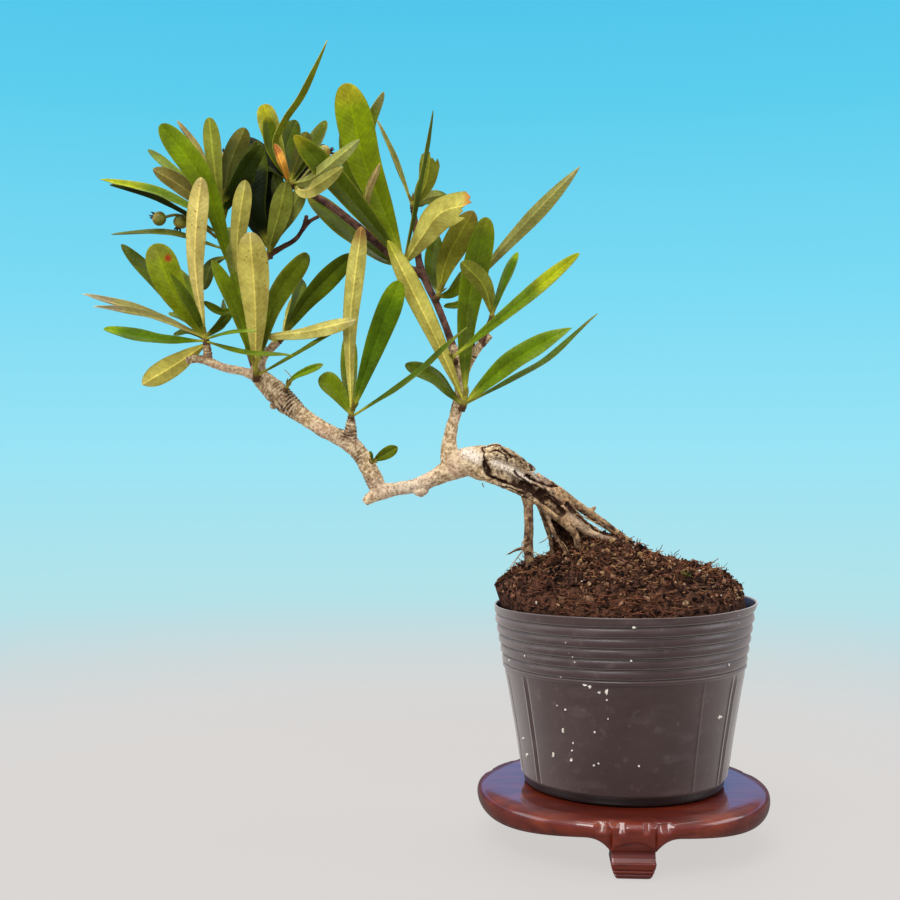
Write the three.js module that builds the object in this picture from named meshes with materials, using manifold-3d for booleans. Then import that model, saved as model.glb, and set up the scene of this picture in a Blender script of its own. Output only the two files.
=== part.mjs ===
// A trained pyracantha in a plastic nursery pot, on a small lacquered wooden stand.
// Millimetres, +Z up. The tree leans towards -X, and its front looks along -Y.
import * as THREE from "three";
import { mergeVertices } from "three/addons/utils/BufferGeometryUtils.js";
import Module from "manifold-3d";

const wasm = await Module();
wasm.setup();

// Driving dimensions
const GAP = 0.3; // clearance between two pieces that touch
const STAND_RADIUS = 41;
const STAND_X = 0.65; // the stand's axis, and below it the pot's: neither is quite under the other
const STAND_TOP = 15.2;
const STAND_THICKNESS = 4.2; // where a foot grows out of the rim
const APRON_DROP = 2.4; // further thickness of the rim half way between two feet
const FOOT_WIDTH = 11.5;
const FOOT_FLARE = 7; // how far each side of a foot spreads where it meets the rim
const FOOT_TURN = -93.2; // degrees round the stand, where the front foot stands
const POT_X = 1.1;
const POT_HEIGHT = 50.6;
const POT_BASE_RADIUS = 28.8;
const POT_NECK_RADIUS = 34; // at the lowest ring groove
const POT_RIM_RADIUS = 36.5;
const POT_WALL = 1;
const POT_LEAN = 0.02; // rise of the soft rim towards +X, per mm
const RING_COUNT = 5;
const RING_PITCH = 2.8;
const RING_DEPTH = 0.7;
const DRAIN_HOLE_RADIUS = 2.5;
const DRAIN_HOLE_COUNT = 4;
const SOIL_SHOULDER = 8; // rise of the root ball close inside its edge
const SOIL_CROWN = 3.5; // its further rise towards the middle
const ROOT_MOUND = 7.5; // further rise of the soil where the roots go in
const LEAF_THICKNESS = 0.62;
const LEAF_FOLD = 0.16; // rise of a leaf's edges above its midrib, per mm of half width
const FRUIT_RADIUS = 2.1;

const POT_BASE = STAND_TOP + GAP;
const RIM_HEIGHT = POT_BASE + POT_HEIGHT;

// The tree is laid out as it is seen from one point in front of it. Every place is given as
// [x, z, depth]: x and z where it is seen on the upright plane Y = 0 through the pot's middle,
// and its depth behind that plane.
const EYE = new THREE.Vector3(-48, -360, 109);

function seen(x, z, depth) {
  const reach = 1 - depth / EYE.y;
  return new THREE.Vector3(x, 0, z).sub(EYE).multiplyScalar(reach).add(EYE);
}

// Solids

function solidOf(geometry) {
  const bare = geometry.clone();
  bare.deleteAttribute("normal");
  bare.deleteAttribute("uv");
  const merged = mergeVertices(bare, 1e-4);
  return new wasm.Manifold(
    new wasm.Mesh({
      numProp: 3,
      vertProperties: merged.attributes.position.array,
      triVerts: new Uint32Array(merged.index.array),
    }),
  );
}

function geometryOf(solid) {
  const mesh = solid.getMesh();
  const geometry = new THREE.BufferGeometry();
  geometry.setAttribute("position", new THREE.BufferAttribute(mesh.vertProperties, 3));
  geometry.setIndex(new THREE.BufferAttribute(mesh.triVerts, 1));
  const flat = geometry.toNonIndexed();
  flat.computeVertexNormals();
  return flat;
}

function joined(solids) {
  return solids.reduce((sum, solid) => sum.add(solid));
}

function largest(solid) {
  return solid.decompose().reduce((a, b) => (a.volume() > b.volume() ? a : b));
}

function closedGeometry(points, faces) {
  const geometry = new THREE.BufferGeometry().setFromPoints(points);
  geometry.setIndex(faces.flat());
  return geometry;
}

// A closed skin over rings of points, each ring running the same way round, with a pole at
// each end.
function skin(rings, startPole, endPole) {
  const sides = rings[0].length;
  const points = [...rings.flat(), startPole, endPole];
  const start = points.length - 2;
  const end = points.length - 1;
  const faces = [];
  for (let side = 0; side < sides; side++) {
    const next = (side + 1) % sides;
    faces.push([start, next, side]);
    for (let ring = 0; ring < rings.length - 1; ring++) {
      const here = ring * sides;
      const above = here + sides;
      faces.push([here + side, here + next, above + next]);
      faces.push([here + side, above + next, above + side]);
    }
    const last = (rings.length - 1) * sides;
    faces.push([end, last + side, last + next]);
  }
  return closedGeometry(points, faces);
}

function smooth(points) {
  return new THREE.CatmullRomCurve3(points, false, "centripetal");
}

function curveThrough(places) {
  return smooth(places.map(([x, z, depth]) => seen(x, z, depth)));
}

// A limb of wood through its places [x, z, depth, width], round in section and tapering.
function limb(places, sides, spread = 0) {
  const path = curveThrough(places);
  const steps = places.length - 1;
  const rings = [];
  const across = new THREE.Vector3();
  for (let step = 0; step <= steps; step++) {
    const along = path.getTangent(step / steps);
    if (step === 0) across.crossVectors(along, new THREE.Vector3(0, 1, 0));
    across.addScaledVector(along, -across.dot(along)).normalize();
    const up = new THREE.Vector3().crossVectors(along, across);
    const centre = path.getPoint(step / steps);
    const radius = places[step][3] / 2 + spread;
    const ring = [];
    for (let side = 0; side < sides; side++) {
      const angle = (side / sides) * 2 * Math.PI;
      const point = centre.clone().addScaledVector(across, radius * Math.cos(angle));
      ring.push(point.addScaledVector(up, radius * Math.sin(angle)));
    }
    rings.push(ring);
  }
  const startPole = path.getPoint(0).addScaledVector(path.getTangent(0), -spread);
  const endPole = path.getPoint(1).addScaledVector(path.getTangent(1), places.at(-1)[3] * 0.3 + spread);
  return solidOf(skin(rings, startPole, endPole));
}

// Pot: a thin vacuum-formed wall with ring grooves below a rolled rim, and a raised floor
// with drain holes.

// The soft wall leans: its rim stands higher on the +X side.
function lean(point) {
  point.z += POT_LEAN * point.x * Math.max(0, (point.z - POT_BASE) / POT_HEIGHT);
  return point;
}

function turned(profile, sides) {
  const geometry = new THREE.LatheGeometry(
    profile.map(([radius, height]) => new THREE.Vector2(radius, height)),
    sides,
  );
  geometry.rotateX(Math.PI / 2);
  const position = geometry.attributes.position;
  const point = new THREE.Vector3();
  for (let i = 0; i < position.count; i++) {
    lean(point.fromBufferAttribute(position, i));
    position.setXYZ(i, point.x, point.y, point.z);
  }
  return solidOf(geometry);
}

const TURNED_SIDES = 28; // sides of the pot and of the soil in it
const FLOOR_RECESS = 1.1;
const FLOOR_TOP = POT_BASE + FLOOR_RECESS + POT_WALL;
const CORNER_HEIGHT = 2.6;
const BEAD_HEIGHT = 1.9;
const RINGS_TOP = RIM_HEIGHT - BEAD_HEIGHT - 0.6;
const RINGS_FOOT = RINGS_TOP - RING_COUNT * RING_PITCH;
const NECK_TOP_RADIUS = 35.9;

function potOutline() {
  const outline = [
    [POT_BASE_RADIUS - 2.2, POT_BASE],
    [POT_BASE_RADIUS - 0.5, POT_BASE + 0.7],
    [POT_BASE_RADIUS, POT_BASE + CORNER_HEIGHT],
    [POT_NECK_RADIUS + 0.3, RINGS_FOOT - 0.4],
  ];
  for (let ring = 0; ring < RING_COUNT; ring++) {
    const foot = RINGS_FOOT + ring * RING_PITCH;
    const share = ring / (RING_COUNT - 1);
    const radius = POT_NECK_RADIUS + (NECK_TOP_RADIUS - POT_NECK_RADIUS) * share;
    outline.push([radius - RING_DEPTH + 0.3, foot]);
    outline.push([radius + 0.3, foot + RING_PITCH * 0.5]);
  }
  outline.push([NECK_TOP_RADIUS - 0.2, RINGS_TOP + 0.2]);
  outline.push([POT_RIM_RADIUS, RINGS_TOP + 0.9]);
  outline.push([POT_RIM_RADIUS, RIM_HEIGHT - 0.5]);
  outline.push([POT_RIM_RADIUS - 0.5, RIM_HEIGHT]);
  return outline;
}

const INNER_RIM_RADIUS = POT_RIM_RADIUS - 1.1;
const INNER_NECK_RADIUS = POT_NECK_RADIUS - RING_DEPTH + 0.3 - POT_WALL;
const INNER_BASE_RADIUS = POT_BASE_RADIUS - POT_WALL - 0.4;

function potSolid() {
  const profile = [
    [0, POT_BASE + FLOOR_RECESS],
    [POT_BASE_RADIUS - 4.6, POT_BASE + FLOOR_RECESS],
    [POT_BASE_RADIUS - 4.2, POT_BASE],
    ...potOutline(),
    [INNER_RIM_RADIUS, RIM_HEIGHT],
    [INNER_NECK_RADIUS, RINGS_FOOT],
    [INNER_BASE_RADIUS, FLOOR_TOP + 1.2],
    [INNER_BASE_RADIUS - 1.2, FLOOR_TOP],
    [0, FLOOR_TOP],
  ];
  let pot = turned(profile, TURNED_SIDES);
  const ringRadius = POT_BASE_RADIUS * 0.62;
  for (let hole = 0; hole <= DRAIN_HOLE_COUNT; hole++) {
    const angle = (hole / DRAIN_HOLE_COUNT) * 2 * Math.PI;
    const radius = hole === DRAIN_HOLE_COUNT ? 0 : ringRadius;
    const drill = new THREE.CylinderGeometry(DRAIN_HOLE_RADIUS, DRAIN_HOLE_RADIUS, 8, 8);
    drill.rotateX(Math.PI / 2);
    drill.translate(radius * Math.cos(angle), radius * Math.sin(angle), FLOOR_TOP);
    pot = pot.subtract(solidOf(drill));
  }
  return pot.translate([POT_X, 0, 0]);
}

// Soil: a root ball of peat and bark fibre. It stands proud of the rim on the -X side, has
// shrunk away from the wall on the +X side, and is heaped where the roots go in.
const SOIL_EDGE_RADIUS = INNER_RIM_RADIUS - 0.7;
const SOIL_OVERHANG = 1.6; // how far it leans out over the rim on the left
const SOIL_SHRINKAGE = 0.045; // how far it has shrunk away from the wall on the right
const SOIL_EDGE_DROP = 0.7; // height of its upright edge, more where it overhangs

// How far a place lies towards the pot's left or right, from 0 in the middle to 1.
function leftShare(x) {
  return Math.max(0, -x / SOIL_EDGE_RADIUS) ** 2;
}

function rightShare(x) {
  return Math.max(0, x / SOIL_EDGE_RADIUS) ** 2;
}

function soilHeight(x, y) {
  const share = Math.min(1, Math.hypot(x, y) / SOIL_EDGE_RADIUS);
  const edge = RIM_HEIGHT - 0.1 + POT_LEAN * x + 4.6 * leftShare(x);
  const shoulder = SOIL_SHOULDER * (1 - share ** 9) * (1 - 0.1 * leftShare(x) - 0.1 * rightShare(x));
  const crown = shoulder + SOIL_CROWN * (1 - share);
  const mound = ROOT_MOUND * Math.exp(-((x + 6) ** 2 + y ** 2) / 180);
  const lumps = 0.5 * Math.sin(1.1 * x + 0.4 * y) * Math.sin(0.9 * y - 0.5);
  const grooves = 0.4 * Math.sin(0.7 * x - 1.7 * y);
  return edge + crown + mound + lumps + grooves;
}

function soilSolid(roots) {
  const side = [
    [INNER_BASE_RADIUS - 1.2 - GAP, FLOOR_TOP + GAP],
    [INNER_BASE_RADIUS - GAP, FLOOR_TOP + 1.2 + GAP],
    [INNER_NECK_RADIUS - GAP, RINGS_FOOT],
    [SOIL_EDGE_RADIUS - 0.2, RIM_HEIGHT - 2.6],
  ];
  const rings = side.map(([radius, height]) => circle(radius, (point) => lean(point.setZ(height))));
  const belowEdge = (point) => soilHeight(point.x, point.y) - SOIL_EDGE_DROP - leftShare(point.x);
  rings.push(circle(SOIL_EDGE_RADIUS, (point) => point.setZ(belowEdge(point))));
  for (const share of [1, 0.94, 0.85, 0.7, 0.52, 0.35, 0.18]) {
    rings.push(
      circle(SOIL_EDGE_RADIUS * share, (point) => {
        point.multiplyScalar(1 - SOIL_SHRINKAGE * rightShare(point.x));
        point.setZ(soilHeight(point.x, point.y));
        point.x -= share === 1 ? SOIL_OVERHANG * leftShare(point.x) : 0;
        return point;
      }),
    );
  }
  const bottom = new THREE.Vector3(0, 0, FLOOR_TOP + GAP);
  const top = new THREE.Vector3(0, 0, soilHeight(0, 0));
  const soil = solidOf(skin(rings, bottom, top)).translate([POT_X, 0, 0]);
  return largest(soil.subtract(joined(roots)));
}

function circle(radius, place) {
  const points = [];
  for (let side = 0; side < TURNED_SIDES; side++) {
    const angle = (side / TURNED_SIDES) * 2 * Math.PI;
    points.push(place(new THREE.Vector3(radius * Math.cos(angle), radius * Math.sin(angle), 0)));
  }
  return points;
}

// Stand: a round top whose bullnose rim hangs down as a low apron between three short feet,
// carved from one piece.
const STAND_SIDES = 42;
const STAND_FOOT = STAND_TOP - STAND_THICKNESS;
const RIM_MIDDLE = STAND_TOP - 2; // where the rim is widest, and the feet are grown in
const FOOT_COUNT = 3;

// How far the rim hangs down at an angle round the stand.
function apronDrop(angle) {
  const fromFoot = angle - THREE.MathUtils.degToRad(FOOT_TURN);
  return (APRON_DROP * (1 - Math.cos(FOOT_COUNT * fromFoot))) / 2;
}

function standTop() {
  // Distances in from the rim, heights, and the share of the apron's drop at each
  const section = [
    [9, STAND_FOOT, 0],
    [5.5, STAND_FOOT - 0.2, 0.6],
    [3, STAND_FOOT - 0.4, 1],
    [1.2, STAND_FOOT + 0.3, 1],
    [0.2, STAND_FOOT + 1.6, 0.7],
    [0, RIM_MIDDLE, 0.2],
    [0.5, STAND_TOP - 0.8, 0],
    [2, STAND_TOP, 0],
  ];
  const rings = section.map(([inset, height, share]) => {
    const ring = [];
    for (let side = 0; side < STAND_SIDES; side++) {
      const angle = (side / STAND_SIDES) * 2 * Math.PI;
      const radius = STAND_RADIUS - inset;
      const rise = height - share * apronDrop(angle);
      ring.push(new THREE.Vector3(radius * Math.cos(angle), radius * Math.sin(angle), rise));
    }
    return ring;
  });
  const bottom = new THREE.Vector3(0, 0, STAND_FOOT);
  const top = new THREE.Vector3(0, 0, STAND_TOP);
  return solidOf(skin(rings, bottom, top));
}

// The foot's face, seen from in front: half widths at heights above the sole.
function footFace() {
  const half = FOOT_WIDTH / 2;
  const face = new THREE.Shape();
  face.moveTo(-half + 1.4, 0);
  face.lineTo(half - 1.4, 0);
  face.lineTo(half - 0.5, 1.6);
  face.lineTo(half, 3.4);
  face.lineTo(half, 8);
  face.quadraticCurveTo(half + 1.2, STAND_FOOT - 0.4, half + FOOT_FLARE, STAND_FOOT + 0.2);
  face.lineTo(half + FOOT_FLARE, RIM_MIDDLE);
  face.lineTo(-half - FOOT_FLARE, RIM_MIDDLE);
  face.lineTo(-half - FOOT_FLARE, STAND_FOOT + 0.2);
  face.quadraticCurveTo(-half - 1.2, STAND_FOOT - 0.4, -half, 8);
  face.lineTo(-half, 3.4);
  face.lineTo(-half + 0.5, 1.6);
  return face;
}

// The foot's side, a knee under the rim, a waist below it and a scrolled toe: distances
// from the stand's axis at heights above the sole.
function footSide() {
  const side = new THREE.Shape();
  side.moveTo(30, 0);
  side.lineTo(37.2, 0);
  side.lineTo(38.6, 1.4);
  side.lineTo(39, 3.2);
  side.lineTo(38.2, 4.2);
  side.lineTo(37.8, 6.6);
  side.lineTo(38, 7.6);
  side.lineTo(39.6, 9.4);
  side.lineTo(40.6, 11.6);
  side.lineTo(40.8, RIM_MIDDLE + 0.3);
  side.lineTo(29, RIM_MIDDLE + 0.3);
  side.lineTo(28, STAND_FOOT - 0.5);
  side.lineTo(30.2, 8.5);
  side.lineTo(31, 4);
  return side;
}

// A shape drawn across the foot at +X, pushed through it. `right` is where the shape's own
// x axis points.
function pushedThrough(shape, right) {
  const depth = 2 * STAND_RADIUS;
  const up = new THREE.Vector3(0, 0, 1);
  const through = new THREE.Vector3().crossVectors(right, up);
  const geometry = new THREE.ExtrudeGeometry(shape, { depth, bevelEnabled: false, curveSegments: 4 });
  geometry.translate(0, 0, -depth / 2);
  geometry.applyMatrix4(new THREE.Matrix4().makeBasis(right, up, through));
  return solidOf(geometry);
}

function standSolid() {
  const face = pushedThrough(footFace(), new THREE.Vector3(0, 1, 0));
  const side = pushedThrough(footSide(), new THREE.Vector3(1, 0, 0));
  const reach = new THREE.CylinderGeometry(STAND_RADIUS, STAND_RADIUS, 2 * STAND_TOP, STAND_SIDES);
  const foot = face.intersect(side).intersect(solidOf(reach.rotateX(Math.PI / 2)));
  const feet = [];
  for (let place = 0; place < FOOT_COUNT; place++) {
    feet.push(foot.rotate([0, 0, FOOT_TURN + (place * 360) / FOOT_COUNT]));
  }
  return joined([standTop(), ...feet]).translate([STAND_X, 0, 0]);
}

// Wood: the trunk, its branches and spurs, and the roots that stand clear of the soil, grown
// as one. Each is a list of places [x, z, depth, width].
const TRUNK = [
  [-47, 104.2, 0, 7.4],
  [-43, 105.6, 0, 8.6],
  [-38.5, 105.3, 0, 11],
  [-34, 103.8, 0, 11],
  [-30, 101.5, 0, 9.6],
  [-26, 99.6, 0, 8.6],
  [-22, 97.6, 0, 7.4],
  [-18, 94.8, 0, 6.2],
  [-14, 91.5, 0, 4.4],
];
const LINE_TO_LEFT = [
  [-44.5, 104.8, 0, 7.4],
  [-49, 102.8, 0, 6],
  [-53, 100.9, -0.5, 4.7],
  [-58, 98.9, -1, 4.2],
  [-63, 98, -1.5, 4],
  [-67, 97.1, -2, 4.6],
  [-70.5, 95.4, -2, 3.6],
  [-72.2, 94, -2, 2.4],
];
const LEFT_BRANCH = [
  [-68, 97, -2, 4.6],
  [-69.4, 100.5, -2, 5.2],
  [-71.7, 105, -2, 5],
  [-74.3, 108.8, -1.5, 4.9],
  [-77.5, 111.5, -1, 5],
  [-81.5, 113.6, 0, 4.5],
  [-86, 116.2, 1, 4.6],
  [-90.5, 119.2, 2, 4.7],
  [-94.5, 122.6, 3, 6.2],
  [-98, 126, 4, 6.4],
  [-101.5, 129.3, 5, 5.2],
  [-103.8, 131, 5.5, 3.8],
];
const LEFT_TWIG = [
  [-101.5, 129.5, 5, 3.6],
  [-107, 131.3, 5, 2.6],
  [-112, 132.3, 4.5, 2.5],
  [-116, 133.9, 4, 2.7],
  [-119.5, 134.8, 3.6, 2.4],
  [-122.6, 134.4, 3.4, 2.2],
];
const RISING_BRANCH = [
  [-101.8, 129.5, 6, 3.8],
  [-105, 140, 9, 3.2],
  [-106, 150, 11, 2.8],
  [-104, 158, 12, 2.6],
  [-99.5, 164, 13, 2.4],
  [-95.5, 166.5, 13, 2.3],
  [-92, 168.6, 13, 2.3],
  [-89.7, 171.8, 13, 2.2],
  [-88.6, 175.6, 13, 2],
];
const RIGHT_BRANCH = [
  [-47.5, 104.5, 0, 6.4],
  [-48.2, 109, 0.5, 4.8],
  [-47.8, 114, 1, 3.7],
  [-46.5, 119, 1.5, 3.3],
  [-45.4, 123.5, 2, 3.2],
  [-45.3, 128, 3, 3],
  [-46, 133, 4, 2.8],
  [-47, 138, 5, 2.6],
];
const PURPLE_SHOOT = [
  [-46.6, 136.5, 5, 2.5],
  [-49.2, 144, 6, 2.2],
  [-51.8, 150.5, 7, 2.2],
  [-54.5, 156, 8, 2.3],
  [-56.5, 161, 8.5, 2.2],
  [-57.3, 167, 9, 2.1],
  [-57.8, 173, 9.5, 1.9],
  [-58.5, 177.5, 10, 1.7],
];
const ARCHED_BRANCH = [
  [-55.5, 158.5, 8, 2.6],
  [-60, 160.6, 8, 2.6],
  [-64, 163.6, 8, 2.6],
  [-69, 168, 8, 2.6],
  [-75, 173, 9, 2.5],
  [-81, 177.6, 10, 2.3],
  [-87, 181.3, 11, 2.1],
  [-92, 183.6, 12, 2],
];
const RIGHT_FORK = [
  [-45.3, 127.5, 3, 2.8],
  [-43.3, 132, 4.4, 2.5],
  [-41.3, 136, 5, 2.5],
  [-39, 139.3, 4, 2.6],
  [-36.9, 141.7, 3, 2.8],
];
const SPURS = [
  [
    [-76.6, 110.8, -1.5, 4.2],
    [-76.2, 114.5, -2.5, 3.1],
    [-76, 118, -3.5, 2.2],
  ],
  [
    [-116.6, 134, 4, 2.4],
    [-116.7, 137, 3.6, 2.4],
    [-117.1, 139.6, 3, 2],
  ],
  [
    [-101.5, 130, 6, 2.6],
    [-101, 135, 7, 2.4],
    [-99, 137.6, 7.5, 2.2],
    [-96.8, 139.7, 8, 2.2],
  ],
  [
    [-89.9, 171.3, 13, 1.9],
    [-87.5, 174, 12.5, 1.6],
    [-85, 175.3, 12, 1.4],
  ],
  [
    [-38.9, 139.2, 4, 2],
    [-37.8, 143, 2, 1.7],
    [-36.3, 146, 0.3, 1.6],
  ],
  [
    [-41.5, 135.5, 5, 2],
    [-42, 145, 9, 1.8],
    [-40.5, 155, 12, 1.6],
  ],
  [
    [-54.5, 97.8, -1, 1.6],
    [-56.5, 96.9, -2, 2.6],
    [-58, 97.2, -2, 1.6],
  ],
  [
    [-96.5, 122.5, 2.6, 2.6],
    [-98.8, 121, 2, 1.4],
  ],
];
const ROOTS = [
  [
    [-26.5, 97.5, -2, 3.6],
    [-25.8, 92.5, -3, 2.8],
    [-25.6, 87, -3.5, 2.7],
    [-25.9, 82.5, -4, 2.9],
    [-25.6, 78.5, -4, 3],
    [-25, 72, -4, 2],
  ],
  [
    [-23, 95.5, 0, 2.6],
    [-21.7, 91, 1, 1.9],
    [-20.6, 87.5, 2, 1.7],
    [-19.5, 83.5, 2.5, 1.5],
    [-18.5, 75, 3, 1.2],
  ],
  [
    [-21.5, 93, -2, 2],
    [-19.4, 87.5, -4, 1.3],
    [-17.8, 84, -5, 1.3],
    [-15.8, 81.3, -6, 1.2],
    [-14.5, 74, -6, 1.1],
  ],
  [
    [-26.5, 98, -2, 3.4],
    [-22.5, 94.3, -3.5, 3],
    [-18.5, 90.8, -4.5, 2.8],
    [-14.8, 87.8, -5, 2.6],
    [-12.5, 85, -5.5, 2.2],
    [-11, 76, -6, 1.6],
  ],
  [
    [-21, 97.5, -2, 3.4],
    [-16.5, 93, -3, 3],
    [-12.5, 88.5, -3.5, 2.8],
    [-9, 85.8, -3.5, 2.6],
    [-5, 84.1, -3.5, 2.2],
    [-1, 83, -3, 2.1],
    [2.5, 81.3, -2.5, 2],
    [5, 74, -2, 1.5],
  ],
  [
    [-24, 101, 0, 4],
    [-18.5, 98, 0.5, 3.2],
    [-13.5, 94.5, 1, 2.8],
    [-9.5, 91.6, 1, 2.6],
    [-6, 89.3, 1, 2.5],
    [-2.5, 86.8, 1, 2.3],
    [1, 84.2, 1, 2.3],
    [4, 81.5, 1, 2.1],
    [6, 74, 1, 1.5],
  ],
  [
    [-15.5, 95, -1.5, 2],
    [-12, 91, -2, 1.4],
    [-9.3, 88, -2.4, 1.3],
    [-7.8, 85.6, -3, 1.3],
  ],
  [
    [-22, 97, 3, 3.4],
    [-16, 92.5, 5, 2.8],
    [-10, 88, 6.5, 2.5],
    [-5, 84.5, 7.5, 2.2],
    [-1, 75, 8, 1.6],
  ],
  [
    [-20, 95.5, 0, 5],
    [-15, 91, 0.5, 4],
    [-11, 86, 1, 3.2],
    [-9, 75, 1, 2.2],
  ],
];
const ROOT_NUBS = [
  [
    [-9, 91, 1, 2],
    [-6.7, 92.9, 1, 0.9],
  ],
  [
    [-26.2, 81.3, -4, 1.2],
    [-29, 80.8, -5, 0.9],
    [-31.6, 79.4, -6, 0.8],
  ],
];
const BIG_LIMBS = [TRUNK, LINE_TO_LEFT, LEFT_BRANCH, RISING_BRANCH, RIGHT_BRANCH];
const SMALL_LIMBS = [
  LEFT_TWIG,
  PURPLE_SHOOT,
  ARCHED_BRANCH,
  RIGHT_FORK,
  ...SPURS,
  ...ROOTS,
  ...ROOT_NUBS,
];
const BIG_LIMB_SIDES = 8;
const SMALL_LIMB_SIDES = 5;

function woodSolids(spread) {
  return [
    ...BIG_LIMBS.map((places) => limb(places, BIG_LIMB_SIDES, spread)),
    ...SMALL_LIMBS.map((places) => limb(places, SMALL_LIMB_SIDES, spread)),
  ];
}

// Leaves: narrow blades, widest past their middle, folded a little along the midrib.
const LEAF_STEPS = [0, 0.2, 0.42, 0.66, 0.88, 1];
const STALK_WIDTH = 0.9;
const SLIM_WIDTH = 5.1; // a leaf narrower than this is flat

function leafWidth(share, width, blunt) {
  const swell = Math.sin(Math.PI * share ** 1.5);
  return Math.max(STALK_WIDTH, width * Math.max(0, swell) ** (blunt ? 0.55 : 0.85));
}

// One leaf from its root through its places [x, z, depth]. `turn` is 0 where its upper side
// faces the eye, 180 where its underside does, and near 90 or -90 where it is edge on.
function leaf(root, places, width, turn, blunt = false) {
  const path = smooth([root, ...places.map((place) => seen(...place))]);
  const angle = THREE.MathUtils.degToRad(turn);
  const slim = width < SLIM_WIDTH;
  const rings = LEAF_STEPS.map((share) => {
    const centre = path.getPointAt(share);
    const along = path.getTangentAt(share);
    const look = centre.clone().sub(EYE).normalize();
    const flat = new THREE.Vector3().crossVectors(along, look).normalize();
    const facing = new THREE.Vector3().crossVectors(along, flat);
    const across = flat.multiplyScalar(Math.cos(angle)).addScaledVector(facing, Math.sin(angle));
    const upper = new THREE.Vector3().crossVectors(along, across);
    const half = leafWidth(share, width, blunt) / 2;
    const fold = slim ? 0 : half * LEAF_FOLD;
    const point = (side, layer, rise) =>
      centre
        .clone()
        .addScaledVector(across, side * half)
        .addScaledVector(upper, rise + (layer * LEAF_THICKNESS) / 2);
    const corners = [point(-1, 1, fold), point(-1, -1, fold), point(1, -1, fold), point(1, 1, fold)];
    if (slim) return corners;
    return [corners[0], corners[1], point(0, -1, 0), corners[2], corners[3], point(0, 1, 0)];
  });
  return solidOf(blade(rings, slim));
}

// The skin of a blade. Both faces are split along the same diagonals.
function blade(rings, slim) {
  const sides = rings[0].length;
  const points = rings.flat();
  const faces = [];
  // Pairs of corners [from, to, flipped] round the section: edge, underside, edge, upper side
  const strips = slim
    ? [[0, 1, false], [1, 2, false], [2, 3, false], [3, 0, true]]
    : [[0, 1, false], [1, 2, false], [2, 3, true], [3, 4, false], [4, 5, false], [5, 0, true]];
  for (let ring = 0; ring < rings.length - 1; ring++) {
    const here = ring * sides;
    const next = here + sides;
    for (const [from, to, flipped] of strips) {
      if (flipped) {
        faces.push([here + from, here + to, next + from]);
        faces.push([here + to, next + to, next + from]);
      } else {
        faces.push([here + from, here + to, next + to]);
        faces.push([here + from, next + to, next + from]);
      }
    }
  }
  const last = (rings.length - 1) * sides;
  const caps = slim ? [[0, 3, 2], [0, 2, 1]] : [[0, 5, 2], [0, 2, 1], [5, 4, 3], [5, 3, 2]];
  for (const [a, b, c] of caps) {
    faces.push([a, b, c]);
    faces.push([last + a, last + c, last + b]);
  }
  return closedGeometry(points, faces);
}

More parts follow.
